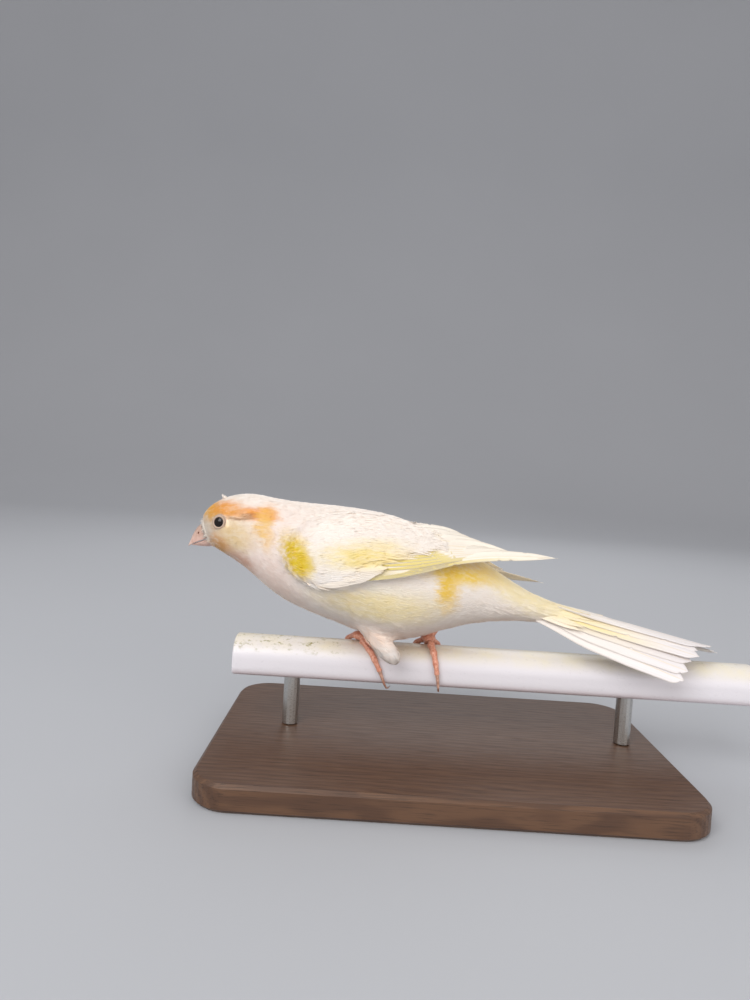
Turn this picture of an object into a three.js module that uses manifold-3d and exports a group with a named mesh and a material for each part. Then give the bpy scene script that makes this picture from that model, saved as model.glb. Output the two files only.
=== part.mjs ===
// A canary, life size, gripping a cut length of plastic perch on a plain display stand.
// Millimetres, +Z up. The bird faces -X with its left side to -Y.
// The origin is the middle of the base's underside. Heights called "over" are over the perch's top.

import * as THREE from "three";
import { mergeVertices } from "three/addons/utils/BufferGeometryUtils.js";
import Module from "manifold-3d";

const wasm = await Module();
wasm.setup();

const { lerp, degToRad, smoothstep } = THREE.MathUtils;

// Driving sizes: clearance, stand and perch
const GAP = 0.3;
const SHORT_EDGE = 0.03;
const SAME_POINT = 1e-3;
const BASE = { length: 110, width: 70, thick: 6, corner: 8, bevel: 0.8 };
const ROD = { radius: 2, long: 12, leftX: -38, rightX: 46, sides: 16 };
const PERCH = {
  left: -52.5,
  right: 77,
  high: 9.4,
  dome: 5.2,
  halfWidth: 5.8,
  middleY: 2.5,
  domePower: 2.2,
  footPower: 4.5,
  sides: 28,
  bevel: 0.5,
};
const PERCH_BOTTOM = BASE.thick + GAP + ROD.long + GAP;
const PERCH_TOP = PERCH_BOTTOM + PERCH.high;

// Driving sizes: body outline from the bill's base to the tail's root.
// Each row is x, height of the back over the perch, height of the belly over it, half width.
const BODY_ROWS = [
  [-62.6, 27.8, 25.6, 0.7],
  [-61.6, 30.4, 24.0, 3.2],
  [-59.4, 32.6, 21.9, 5.4],
  [-56.0, 34.5, 20.2, 7.4],
  [-50.5, 35.7, 16.9, 9.0],
  [-44.0, 35.1, 11.7, 10.6],
  [-37.0, 34.6, 8.2, 13.2],
  [-28.0, 34.3, 5.3, 15.8],
  [-18.0, 33.3, 2.2, 16.8],
  [-11.0, 31.5, 1.8, 16.3],
  [-3.0, 28.6, 4.3, 14.2],
  [5.0, 24.6, 6.7, 10.6],
  [13.0, 19.6, 7.8, 7.2],
  [21.0, 15.4, 8.0, 5.0],
  [28.0, 13.2, 7.6, 3.8],
  [34.0, 11.4, 8.4, 1.4],
];
const BODY = { around: 24, stepsPerRow: 2, widestAt: 0.47, power: 2.1 };
const CUTS = [
  { x: -48.5, over: 25, tilt: 22 },
  { x: -41.5, over: 20, tilt: 24 },
  { x: 19.0, over: 13, tilt: -24 },
];

// Driving sizes: eye, bill
const EYE = {
  x: -56.6,
  over: 28.5,
  radius: 2.1,
  proud: 0.45,
  forward: 0.28,
  upward: 0.12,
  lidRing: 1.6,
  lidTube: 0.42,
};
const BILL = {
  x: -60.9,
  over: 24.2,
  droop: 29.5,
  length: 4.8,
  root: 2.2,
  halfHeight: 3.1,
  lowerDepth: 2.1,
  halfWidth: 2.7,
  lowerWidth: 0.88,
  ridgePower: 1.35,
  sidePower: 1.25,
  bluntRidge: 0.06,
  bluntSide: 0.07,
  mouthBase: -0.85,
  mouthRise: 0.12,
  hook: 0.35,
  around: 12,
  steps: 7,
};
const NOSTRIL = { along: 0.9, up: 1.45, radius: 0.42, inward: 0.72 };

// Driving sizes: wings. Edge rows are x and height over the perch; spans are half widths from the midline.
const WING = {
  frontX: -42,
  coreEnd: -3,
  plate: 3.2,
  endPlate: 0.7,
  thinFromX: -22,
  across: 5,
  steps: 10,
  skin: 1.6,
  middleGap: 0.35,
};
const WINGS = {
  left: {
    side: -1,
    lower: [[-42, 21.5], [-37, 17.2], [-30, 15.8], [-22, 17.7], [-13, 19.6], [-2, 22.4], [9, 24], [25, 24.5]],
    upper: [[-42, 24], [-37, 30], [-30, 33.6], [-18, 34], [-7, 31.5], [5, 27.6], [12, 26.1], [25, 24.7]],
    farLow: [[-42, 8], [-5, 13.5], [9, 10], [25, 4.4]],
    farHigh: [[-42, 2], [-5, 2.8], [9, 3], [25, 3.6]],
  },
  right: {
    side: 1,
    lower: [[-42, 21.5], [-37, 17.2], [-30, 15.8], [-13, 16], [0, 16.4], [12, 16.6], [26, 16.4]],
    upper: [[-42, 24], [-37, 30], [-30, 33.6], [-18, 33.7], [-7, 30.5], [5, 25.6], [14, 21.4], [26, 16.8]],
    farLow: [[-42, 8], [-5, 13.5], [9, 10.4], [26, 6.6]],
    farHigh: [[-42, 2], [-5, 2.8], [9, 4.4], [26, 6]],
  },
};

// Driving sizes: rows of wing feathers, laid from the lowest to the topmost.
// Root and tip give place along the body and share across the wing for the first and last feather.
const WING_ROWS = {
  primaries: {
    count: 7,
    root: [[-27, 0.1], [-17, 0.2]],
    tip: [[24.6, 0.4], [9, 0.5]],
    half: 1.5,
    lift: 0.1,
  },
  secondaries: {
    count: 5,
    root: [[-16, 0.24], [-12, 0.62]],
    tip: [[8, 0.5], [4, 0.8]],
    half: 2,
    lift: 0.45,
  },
  tertials: {
    count: 3,
    root: [[-12, 0.62], [-13, 0.84]],
    tip: [[9, 0.72], [0, 0.9]],
    half: 2.3,
    lift: 0.85,
  },
  primaryCoverts: {
    count: 3,
    root: [[-33, 0.06], [-30, 0.2]],
    tip: [[-19, 0.05], [-15, 0.16]],
    half: 1.6,
    lift: 0.5,
  },
  greaterCoverts: {
    count: 6,
    root: [[-27, 0.18], [-24, 0.84]],
    tip: [[-13, 0.2], [-9, 0.82]],
    half: 2.4,
    lift: 1.1,
  },
  medianCoverts: {
    count: 5,
    root: [[-33, 0.2], [-30, 0.84]],
    tip: [[-21, 0.22], [-17, 0.84]],
    half: 2.5,
    lift: 1.2,
  },
  lesserCoverts: {
    count: 4,
    root: [[-38, 0.3], [-36, 0.8]],
    tip: [[-27, 0.2], [-25, 0.82]],
    half: 2.7,
    lift: 1.2,
  },
};
const VANE = {
  thick: 0.55,
  tipThick: 0.3,
  thinFrom: 0.6,
  sunk: 0.5,
  raisedAt: 0.45,
  tilt: 0.28,
  jitter: 0.6,
  rootWidth: 0.5,
  fullWidthAt: 0.4,
  narrowFrom: 0.7,
  narrowing: 0.88,
  longFrom: 20,
};
const LONG_VANE = [0, 0.35, 0.72, 0.92, 1];
const SHORT_VANE = [0, 0.5, 0.86, 1];

// Driving sizes: tail. Spread runs from -1 at the left edge of the fan to +1 at the right edge.
const TAIL = {
  feathers: 12,
  rootX: 21.5,
  rootOver: 13.4,
  rootHalf: 3.1,
  rootFall: { left: 4, right: 2.4 },
  tipX: 63,
  tipLean: 8,
  tipY: -4,
  tipHalf: 9.5,
  tipOver: 4.9,
  tipFall: { left: 6.2, right: 2.8 },
  half: 2.2,
  stack: 0.8,
};
const TAIL_COVERTS = [
  { count: 5, spread: 0.75, from: -0.04, to: 0.36, half: 2, lift: 1.1 },
  { count: 3, spread: 0.6, from: 0, to: 0.4, half: 1.9, lift: -1.1 },
];
const TAIL_JITTER = { feather: 0.04, covert: 0.03, shortening: 0.1 };

// Driving sizes: legs and feet. Points are x, y and height over the perch.
const LEGS = {
  left: { hip: [-22, -7.5, 10], heel: [-13.2, -9.4, -1], foot: [-22, 2.2, 1.5], hindLean: 0.72 },
  right: { hip: [-6, 7.5, 14.5], heel: [3.2, 12, 9.8], foot: [-4.3, 3.6, 1.5], hindLean: 0.25 },
};
const THIGH = {
  hipRadius: 4.4,
  heelRadius: 2.1,
  pastHeel: 0.9,
  taper: 1.1,
  taperPower: 0.8,
  cap: 1.6,
  around: 14,
  steps: 8,
};
const SHANK = { heelRadius: 1.15, waistRadius: 0.85, footRadius: 1.15, palm: 1.7, around: 10, steps: 6 };
const TOES = {
  hind: { long: 7.5, radius: 0.95, start: -26, claw: 6 },
  inner: { long: 8.5, radius: 0.8, start: 22, lean: -0.62, claw: 3.6 },
  middle: { long: 12.5, radius: 0.85, start: 24, lean: 0, claw: 4.4 },
  outer: { long: 9, radius: 0.8, start: 22, lean: 0.62, claw: 3.6 },
};
const TOE = {
  endRadius: 0.62,
  joints: 3,
  bulge: 0.14,
  palm: 1.6,
  bendBack: 60,
  bends: 6,
  around: 8,
  steps: 9,
};
const CLAW = { baseRadius: 0.5, tipRadius: 0.12, lift: 0.5, around: 7, steps: 5 };

// Colours
const COLOURS = {
  plumage: 0xf6ead8,
  vane: 0xfaf3e2,
  bill: 0xd9b8a4,
  eye: 0x0c0908,
  leg: 0xcf8468,
  claw: 0xb98a74,
  perch: 0xeeebe2,
  wood: 0x54402f,
  steel: 0x9a9a98,
};

// Curves and rings

// A smooth function through the second numbers of the rows, given the first.
function through(rows, column = 1) {
  const last = rows.length - 1;
  const slope = (i) => {
    const a = Math.max(i - 1, 0);
    const b = Math.min(i + 1, last);
    return (rows[b][column] - rows[a][column]) / (rows[b][0] - rows[a][0]);
  };
  return (x) => {
    let i = 0;
    while (i < last - 1 && x > rows[i + 1][0]) i += 1;
    const span = rows[i + 1][0] - rows[i][0];
    const s = THREE.MathUtils.clamp((x - rows[i][0]) / span, 0, 1);
    const rise = rows[i + 1][column] - rows[i][column];
    const bendIn = slope(i) * span - rise;
    const bendOut = rise - slope(i + 1) * span;
    return rows[i][column] + rise * s + s * (1 - s) * (bendIn * (1 - s) + bendOut * s);
  };
}

// A point on a unit rounded square at an angle, rounder with a power of 2 and squarer above it.
function roundedSquare(angle, power) {
  const pull = 2 / power;
  const c = Math.cos(angle);
  const s = Math.sin(angle);
  return [Math.sign(c) * Math.abs(c) ** pull, Math.sign(s) * Math.abs(s) ** pull];
}

// A closed skin over rings of equally many points, its two ends closed round their middles.
// A flat one has the second half of each ring under the first: both faces are split into
// triangles alike, and each end is closed by a strip between the two halves.
function loft(rings, flat = false) {
  const count = rings[0].length;
  const points = rings.flat();
  const faces = [];
  for (let r = 0; r < rings.length - 1; r += 1) {
    for (let i = 0; i < count; i += 1) {
      const next = (i + 1) % count;
      const [a, b] = [r * count + i, r * count + next];
      const [c, d] = [a + count, b + count];
      if (flat && i >= count / 2) faces.push(a, d, b, a, c, d);
      else faces.push(a, c, b, b, c, d);
    }
  }
  for (const r of [0, rings.length - 1]) {
    const cap = [];
    if (flat) {
      for (let i = 0; i < count / 2 - 1; i += 1) {
        cap.push([i, i + 1, count - 2 - i], [i, count - 2 - i, count - 1 - i]);
      }
    } else {
      const middle = points.length - r * count;
      points.push(rings[r].reduce((sum, p) => sum.add(p), new THREE.Vector3()).divideScalar(count));
      for (let i = 0; i < count; i += 1) cap.push([i, (i + 1) % count, middle]);
    }
    for (const face of cap) faces.push(...(r === 0 ? face : face.reverse()).map((i) => i + r * count));
  }
  const geometry = new THREE.BufferGeometry().setFromPoints(points);
  geometry.setIndex(faces);
  return geometry;
}

// A round tube along points, with a radius for each share of the way.
function tube(curve, steps, around, radiusAt) {
  const rings = [];
  let across = new THREE.Vector3(0, 0, 1);
  for (let i = 0; i <= steps; i += 1) {
    const share = i / steps;
    const point = curve.getPointAt(share);
    const along = curve.getTangentAt(share);
    across = across.addScaledVector(along, -across.dot(along)).normalize();
    const side = new THREE.Vector3().crossVectors(along, across);
    const radius = radiusAt(share);
    const ring = [];
    for (let k = 0; k < around; k += 1) {
      const angle = (2 * Math.PI * k) / around;
      ring.push(
        point
          .clone()
          .addScaledVector(across, radius * Math.cos(angle))
          .addScaledVector(side, -radius * Math.sin(angle)),
      );
    }
    rings.push(ring);
  }
  return loft(rings);
}

const over = ([x, y, height]) => new THREE.Vector3(x, y, PERCH_TOP + height);

// A repeatable stream of numbers from 0 to 1.
function seeded(seed) {
  let state = seed;
  return () => {
    state = (state * 16807) % 2147483647;
    return state / 2147483647;
  };
}

// Solids

function solidOf(geometry) {
  const bare = new THREE.BufferGeometry();
  bare.setAttribute("position", geometry.getAttribute("position"));
  bare.setIndex(geometry.getIndex());
  const merged = mergeVertices(bare, SAME_POINT);
  const solid = new wasm.Manifold(
    new wasm.Mesh({
      numProp: 3,
      vertProperties: merged.getAttribute("position").array,
      triVerts: new Uint32Array(merged.getIndex().array),
    }),
  );
  if (solid.volume() < 0) throw new Error("a solid is inside out");
  return solid;
}

// Draws together the ends of the very short edges that joining and cutting leave.
// An edge stays where drawing it together would fold the skin onto itself.
function withoutShortEdges(points, faces) {
  const facesAt = points.map(() => new Set());
  faces.forEach((face) => face.forEach((corner) => facesAt[corner].add(face)));
  const cornersRound = (corner) => {
    const found = new Set([...facesAt[corner]].flat());
    found.delete(corner);
    return found;
  };
  for (const face of faces) {
    for (let i = 0; i < 3; i += 1) {
      const [kept, gone] = [face[i], face[(i + 1) % 3]];
      if (kept === gone || !facesAt[kept].has(face)) continue;
      if (points[kept].distanceTo(points[gone]) > SHORT_EDGE) continue;
      const round = cornersRound(kept);
      const shared = [...cornersRound(gone)].filter((corner) => round.has(corner));
      if (shared.length !== 2) continue;
      for (const moved of [...facesAt[gone]]) {
        if (moved.includes(kept)) moved.forEach((corner) => facesAt[corner].delete(moved));
        else facesAt[kept].add(moved);
        moved[moved.indexOf(gone)] = kept;
      }
      facesAt[gone].clear();
    }
  }
  return faces.filter((face) => facesAt[face[0]].has(face));
}

function geometryOf(solid) {
  const mesh = solid.getMesh();
  const geometry = new THREE.BufferGeometry();
  geometry.setAttribute("position", new THREE.BufferAttribute(mesh.vertProperties, mesh.numProp));
  geometry.setIndex(new THREE.BufferAttribute(mesh.triVerts, 1));
  return geometry;
}

// The largest closed surface of a cut solid, without its shortest edges.
function tidied(solid) {
  const { vertProperties, triVerts, numProp } = solid.getMesh();
  const points = [];
  for (let i = 0; i < vertProperties.length; i += numProp) {
    points.push(new THREE.Vector3().fromArray(vertProperties, i));
  }
  const faces = [];
  for (let i = 0; i < triVerts.length; i += 3) faces.push([...triVerts.subarray(i, i + 3)]);
  const geometry = new THREE.BufferGeometry().setFromPoints(points);
  geometry.setIndex(withoutShortEdges(points, faces).flat());
  return largest(solidOf(geometry));
}

const joined = (solids) => solids.reduce((sum, solid) => sum.add(solid));
const cutBy = (solid, tools) => tools.reduce((rest, tool) => rest.subtract(tool), solid);

function largest(solid) {
  return solid.decompose().reduce((best, piece) => (piece.volume() > best.volume() ? piece : best));
}

function mirrored(geometry) {
  geometry.scale(1, -1, 1);
  const index = geometry.getIndex();
  for (let i = 0; i < index.count; i += 3) {
    const first = index.getX(i);
    index.setX(i, index.getX(i + 1));
    index.setX(i + 1, first);
  }
  return geometry;
}

const part = new THREE.Group();

function add(name, shape, colour, roughness = 0.8) {
  const geometry = shape.isBufferGeometry ? shape : geometryOf(tidied(largest(shape)));
  geometry.computeVertexNormals();
  const material = new THREE.MeshStandardMaterial({ color: colour, roughness, metalness: 0 });
  const mesh = new THREE.Mesh(geometry, material);
  mesh.name = name;
  part.add(mesh);
  return mesh;
}

// Stand and perch

function standBase() {
  const { length, width, thick, corner, bevel } = BASE;
  const [x, y] = [length / 2 - bevel, width / 2 - bevel];
  const outline = new THREE.Shape();
  outline.moveTo(-x + corner, -y);
  outline.lineTo(x - corner, -y);
  outline.absarc(x - corner, -y + corner, corner, -Math.PI / 2, 0);
  outline.absarc(x - corner, y - corner, corner, 0, Math.PI / 2);
  outline.absarc(-x + corner, y - corner, corner, Math.PI / 2, Math.PI);
  outline.absarc(-x + corner, -y + corner, corner, Math.PI, 1.5 * Math.PI);
  const plate = new THREE.ExtrudeGeometry(outline, {
    depth: thick - 2 * bevel,
    bevelThickness: bevel,
    bevelSize: bevel,
    bevelSegments: 1,
    curveSegments: 5,
  });
  return plate.translate(0, 0, bevel);
}

function standRod(x) {
  const rod = new THREE.CylinderGeometry(ROD.radius, ROD.radius, ROD.long, ROD.sides);
  rod.rotateX(Math.PI / 2);
  return rod.translate(x, PERCH.middleY, BASE.thick + GAP + ROD.long / 2);
}

// The perch's surface at an angle from its top, positive to the far side, as y and z.
function aroundPerch(angle, away) {
  const rise = Math.cos(angle);
  const upper = rise >= 0;
  const power = upper ? PERCH.domePower : PERCH.footPower;
  const height = upper ? PERCH.dome : PERCH.high - PERCH.dome;
  const side = Math.abs(Math.sin(angle)) / PERCH.halfWidth;
  const reach = (side ** power + (Math.abs(rise) / height) ** power) ** (-1 / power) + away;
  return [PERCH.middleY + reach * Math.sin(angle), PERCH_TOP - PERCH.dome + reach * rise];
}

function perch() {
  const outline = new THREE.Shape();
  for (let i = 0; i < PERCH.sides; i += 1) {
    const [y, z] = aroundPerch((-2 * Math.PI * i) / PERCH.sides, -PERCH.bevel);
    if (i === 0) outline.moveTo(y, z);
    else outline.lineTo(y, z);
  }
  outline.closePath();
  const bar = new THREE.ExtrudeGeometry(outline, {
    depth: PERCH.right - PERCH.left - 2 * PERCH.bevel,
    bevelThickness: PERCH.bevel,
    bevelSize: PERCH.bevel,
    bevelSegments: 1,
  });
  const turn = new THREE.Matrix4().makeBasis(
    new THREE.Vector3(0, 1, 0),
    new THREE.Vector3(0, 0, 1),
    new THREE.Vector3(1, 0, 0),
  );
  return bar.applyMatrix4(turn).translate(PERCH.left + PERCH.bevel, 0, 0);
}

// Body

const backAt = through(BODY_ROWS, 1);
const bellyAt = through(BODY_ROWS, 2);
const halfAt = through(BODY_ROWS, 3);

function bodySection(x, grow) {
  const [top, bottom] = [PERCH_TOP + backAt(x), PERCH_TOP + bellyAt(x)];
  const level = lerp(bottom, top, BODY.widestAt);
  return { level, up: top - level + grow, down: level - bottom + grow, half: halfAt(x) + grow };
}

// The half width of the body at a place and height.
function bodyHalf(x, z, grow) {
  const { level, up, down, half } = bodySection(x, grow);
  const share = Math.abs(z - level) / (z > level ? up : down);
  return half * Math.max(1 - share ** BODY.power, 0) ** (1 / BODY.power);
}

function bodySolid(grow) {
  const rings = [];
  const first = BODY_ROWS[0][0];
  const last = BODY_ROWS[BODY_ROWS.length - 1][0];
  for (let row = 0; row < BODY_ROWS.length - 1; row += 1) {
    for (let step = 0; step < BODY.stepsPerRow; step += 1) {
      rings.push(lerp(BODY_ROWS[row][0], BODY_ROWS[row + 1][0], step / BODY.stepsPerRow));
    }
  }
  rings.push(last);
  const stretch = (x) => x + grow * (x === first ? -1 : x === last ? 1 : 0);
  return solidOf(
    loft(
      rings.map((x) => {
        const { level, up, down, half } = bodySection(x, grow);
        const ring = [];
        for (let i = 0; i < BODY.around; i += 1) {
          const [y, z] = roundedSquare((-2 * Math.PI * i) / BODY.around, BODY.power);
          ring.push(new THREE.Vector3(stretch(x), half * y, level + z * (z > 0 ? up : down)));
        }
        return ring;
      }),
    ),
  );
}

// The body parted into head, neck, torso and the tail's root by thin slanted cuts.
function bodyPieces() {
  const slabs = CUTS.map(({ x, over: height, tilt }) => {
    const slab = new THREE.BoxGeometry(GAP, 60, 70);
    slab.rotateY(degToRad(tilt));
    return solidOf(slab.translate(x, 0, PERCH_TOP + height));
  });
  const middleX = (piece) => {
    const { min, max } = piece.boundingBox();
    return min[0] + max[0];
  };
  return cutBy(bodySolid(0), slabs)
    .decompose()
    .sort((a, b) => middleX(a) - middleX(b));
}

// Eyes and lids

function eyePlace(side) {
  const z = PERCH_TOP + EYE.over;
  const outward = new THREE.Vector3(-EYE.forward, side, EYE.upward).normalize();
  const skin = new THREE.Vector3(EYE.x, side * bodyHalf(EYE.x, z, 0), z);
  return { outward, middle: skin.addScaledVector(outward, EYE.proud - EYE.radius) };
}

function eyeball(side, grow) {
  const { middle } = eyePlace(side);
  const ball = new THREE.SphereGeometry(EYE.radius + grow, 14, 9);
  return ball.translate(middle.x, middle.y, middle.z);
}

// The two lids as one soft rim, standing round the eyeball.
function lids(side) {
  const { middle, outward } = eyePlace(side);
  const rim = new THREE.TorusGeometry(EYE.lidRing, EYE.lidTube, 6, 14);
  const facing = new THREE.Quaternion().setFromUnitVectors(new THREE.Vector3(0, 0, 1), outward);
  rim.applyQuaternion(facing);
  const out = Math.sqrt(EYE.radius ** 2 - EYE.lidRing ** 2);
  const place = middle.clone().addScaledVector(outward, out - EYE.lidTube / 2);
  return rim.translate(place.x, place.y, place.z);
}

// Bill

// A mandible as half-round sections between its mouth line and its ridge.
function mandible(upper, grow) {
  const mouthAt = (u) => BILL.mouthBase + BILL.mouthRise * (u + BILL.root);
  const droop = degToRad(BILL.droop);
  const forward = new THREE.Vector3(-Math.cos(droop), 0, -Math.sin(droop));
  const upward = new THREE.Vector3(-Math.sin(droop), 0, Math.cos(droop));
  const base = over([BILL.x, 0, BILL.over]);
  const reach = upper ? BILL.length + BILL.hook : BILL.length - BILL.hook;
  const rings = [];
  for (let i = 0; i <= BILL.steps; i += 1) {
    const u = lerp(-BILL.root - grow, reach + grow, i / BILL.steps);
    const share = THREE.MathUtils.clamp(u / reach, 0, 1);
    const taper = Math.max(1 - share ** BILL.ridgePower, BILL.bluntRidge);
    const narrowing = Math.max(1 - share ** BILL.sidePower, BILL.bluntSide);
    const mouth = mouthAt(Math.min(u, reach)) - (upper ? BILL.hook * share ** 3 : 0);
    const above = (BILL.halfHeight - BILL.mouthBase) * taper;
    const ridge = mouth + (upper ? above : -BILL.lowerDepth * taper);
    const width = BILL.halfWidth * narrowing * (upper ? 1 : BILL.lowerWidth) + grow;
    const edge = mouth + (upper ? GAP / 2 - grow : grow - GAP / 2);
    const tip = ridge + (upper ? grow : -grow);
    const ring = [];
    for (let k = 0; k < BILL.around; k += 1) {
      const angle = (2 * Math.PI * k) / BILL.around;
      const across = Math.cos(angle) * width;
      const lift = Math.sin(angle);
      const height = lift >= 0 ? lerp(edge, tip, upper ? lift : 0) : lerp(edge, tip, upper ? 0 : -lift);
      ring.push(
        base
          .clone()
          .addScaledVector(forward, u)
          .addScaledVector(upward, height + (lift === 0 ? 0 : Math.sign(lift) * 0.02))
          .add(new THREE.Vector3(0, across, 0)),
      );
    }
    rings.push(ring);
  }
  return solidOf(loft(rings));
}

function nostril(side) {
  const droop = degToRad(BILL.droop);
  const pit = new THREE.SphereGeometry(NOSTRIL.radius, 8, 6);
  const share = 1 - NOSTRIL.along / BILL.length;
  const place = over([BILL.x, side * BILL.halfWidth * share * NOSTRIL.inward, BILL.over]);
  place.x += -Math.cos(droop) * NOSTRIL.along - Math.sin(droop) * NOSTRIL.up;
  place.z += -Math.sin(droop) * NOSTRIL.along + Math.cos(droop) * NOSTRIL.up;
  return solidOf(pit.translate(place.x, place.y, place.z));
}

// Wings

// The wing's outer surface at a place along the body, from its lower edge (0) to its upper edge (1).
function wingSurface(wing) {
  const lower = through(wing.lower);
  const upper = through(wing.upper);
  const farLow = through(wing.farLow);
  const farHigh = through(wing.farHigh);
  return (x, across) => {
    const z = PERCH_TOP + lerp(lower(x), upper(x), across);
    const skin = WING.skin * smoothstep(x, WING.frontX - 2, WING.frontX + 6);
    const far = lerp(farLow(x), farHigh(x), across);
    return new THREE.Vector3(x, Math.max(far, bodyHalf(x, z, skin)), z);
  };
}

// The side of the wing that shows, at a place on its outer surface.
function wingOutward(surface, x, across) {
  const along = surface(x + 1, across).sub(surface(x - 1, across));
  const up = surface(x, across + 0.05).sub(surface(x, across - 0.05));
  return up.cross(along).normalize();
}

// The arm and hand with the bases of the feathers, as one plate that thins towards its end.
function wingCore(surface) {
  const rings = [];
  for (let i = 0; i <= WING.steps; i += 1) {
    const x = lerp(WING.frontX, WING.coreEnd, i / WING.steps);
    const thick = lerp(WING.plate, WING.endPlate, smoothstep(x, WING.thinFromX, WING.coreEnd));
    const outer = [];
    const inner = [];
    for (let k = 0; k <= WING.across; k += 1) {
      const point = surface(x, k / WING.across);
      outer.unshift(point);
      inner.push(point.clone().add(new THREE.Vector3(0, -thick, 0)));
    }
    rings.push([...outer, ...inner]);
  }
  return solidOf(loft(rings, true));
}

// One vane: a thin blade that narrows to its root and its tip.
// The line gives its middle and the side that shows for each share of the way.
function vane(line, stations, half, tilt) {
  const places = stations.map((share) => line(share).middle);
  const rings = stations.map((share, i) => {
    const { middle, outward } = line(share);
    const along = places[Math.min(i + 1, places.length - 1)].clone().sub(places[Math.max(i - 1, 0)]);
    const across = outward.clone().cross(along).normalize();
    const widening = lerp(VANE.rootWidth, 1, smoothstep(share, 0, VANE.fullWidthAt));
    const width = half * widening * (1 - VANE.narrowing * smoothstep(share, VANE.narrowFrom, 1));
    const thin = lerp(1, VANE.tipThick / VANE.thick, smoothstep(share, VANE.thinFrom, 1));
    const point = (sideways, out) =>
      middle
        .clone()
        .addScaledVector(across, sideways * width)
        .addScaledVector(outward, out * thin + sideways * tilt);
    const face = VANE.thick / 2;
    return [point(-1, face), point(1, face), point(1, -face), point(-1, -face)];
  });
  return solidOf(loft(rings, true));
}

function wingVanes(surface, random) {
  const vanes = [];
  for (const row of Object.values(WING_ROWS)) {
    const long = row.tip[0][0] - row.root[0][0] > VANE.longFrom;
    for (let k = 0; k < row.count; k += 1) {
      const share = k / (row.count - 1);
      const root = row.root[0].map((first, i) => lerp(first, row.root[1][i], share));
      const tip = row.tip[0].map((first, i) => lerp(first, row.tip[1][i], share));
      tip[0] += VANE.jitter * (random() - 0.5);
      const line = (s) => {
        const [x, across] = [lerp(root[0], tip[0], s), lerp(root[1], tip[1], s)];
        const outward = wingOutward(surface, x, across);
        const lift = lerp(-VANE.sunk, row.lift, smoothstep(s, 0, VANE.raisedAt));
        return { middle: surface(x, across).addScaledVector(outward, lift), outward };
      };
      vanes.push(vane(line, long ? LONG_VANE : SHORT_VANE, row.half, VANE.tilt));
    }
  }
  return vanes;
}

function wingSolid(wing, neighbours, random) {
  const surface = wingSurface(wing);
  const middle = new THREE.BoxGeometry(200, 40, 200).translate(0, -20 + WING.middleGap, 0);
  const whole = joined([wingCore(surface), ...wingVanes(surface, random)]).subtract(solidOf(middle));
  const shape = geometryOf(whole);
  const sided = solidOf(wing.side < 0 ? mirrored(shape) : shape);
  return cutBy(sided, neighbours);
}

// Tail

// The line of a tail feather for its place in the fan, from its root to its tip.
function tailLine(spread) {
  const side = spread < 0 ? "left" : "right";
  const fall = spread ** 2;
  const root = over([
    TAIL.rootX,
    TAIL.rootHalf * spread,
    TAIL.rootOver - TAIL.rootFall[side] * fall,
  ]);
  const tip = over([
    TAIL.tipX + TAIL.tipLean * spread,
    TAIL.tipY + TAIL.tipHalf * spread,
    TAIL.tipOver - TAIL.tipFall[side] * fall,
  ]);
  return new THREE.LineCurve3(root, tip);
}

function tailVane(spread, from, to, half, lift) {
  const step = 0.05;
  const [left, middle, right] = [-step, 0, step].map((shift) => tailLine(spread + shift));
  const along = middle.getTangent(0);
  const line = (s) => {
    const share = lerp(from, to, s);
    const across = right.getPoint(share).sub(left.getPoint(share));
    const outward = along.clone().cross(across).normalize();
    return { middle: middle.getPoint(share).addScaledVector(outward, lift(s)), outward };
  };
  const stations = to - from > 0.5 ? LONG_VANE : SHORT_VANE;
  return vane(line, stations, half, VANE.tilt * Math.sign(spread || 1));
}

function tailVanes(random) {
  const vanes = [];
  for (let k = 0; k < TAIL.feathers; k += 1) {
    const spread = (2 * k) / (TAIL.feathers - 1) - 1;
    const reach = 1 - TAIL_JITTER.feather * random();
    const lift = TAIL.stack * (0.5 - Math.abs(spread));
    vanes.push(tailVane(spread, 0, reach, TAIL.half, () => lift));
  }
  for (const { count, spread, from, to, half, lift } of TAIL_COVERTS) {
    for (let k = 0; k < count; k += 1) {
      const place = spread * ((2 * k) / (count - 1) - 1);
      const end = to - TAIL_JITTER.shortening * Math.abs(place) - TAIL_JITTER.covert * random();
      vanes.push(tailVane(place, from, end, half, (s) => lift * smoothstep(s, 0, VANE.fullWidthAt)));
    }
  }
  return vanes;
}

// Legs and feet

function thigh(leg, grow) {
  const [hip, heel] = [over(leg.hip), over(leg.heel)];
  const end = heel.clone().sub(hip).setLength(THIGH.heelRadius * THIGH.pastHeel + grow);
  const line = new THREE.LineCurve3(hip, heel.clone().add(end));
  const long = line.getLength();
  return solidOf(
    tube(line, THIGH.steps, THIGH.around, (share) => {
      const left = (1 - share) * long;
      const tapered = Math.min(share * THIGH.taper, 1) ** THIGH.taperPower;
      const width = lerp(THIGH.hipRadius, THIGH.heelRadius, tapered);
      const cap = THIGH.heelRadius * THIGH.cap;
      const round = left < cap ? Math.sqrt(Math.max(1 - (1 - left / cap) ** 2, 0.02)) : 1;
      return width * round + grow;
    }),
  );
}

function shank(leg, grow) {
  const line = new THREE.LineCurve3(over(leg.heel), over(leg.foot));
  const bone = tube(line, SHANK.steps, SHANK.around, (share) => {
    const towardsEnd = Math.abs(2 * share - 1) ** 2.5;
    const end = share < 0.5 ? SHANK.heelRadius : SHANK.footRadius;
    return lerp(SHANK.waistRadius, end, towardsEnd) + grow;
  });
  const palm = new THREE.SphereGeometry(SHANK.palm + grow, 12, 8);
  const squash = (SHANK.footRadius + grow) / (SHANK.palm + grow);
  palm.scale(1, 1, squash);
  const foot = over(leg.foot);
  return joined([solidOf(bone), solidOf(palm.translate(foot.x, foot.y, foot.z))]);
}

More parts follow.
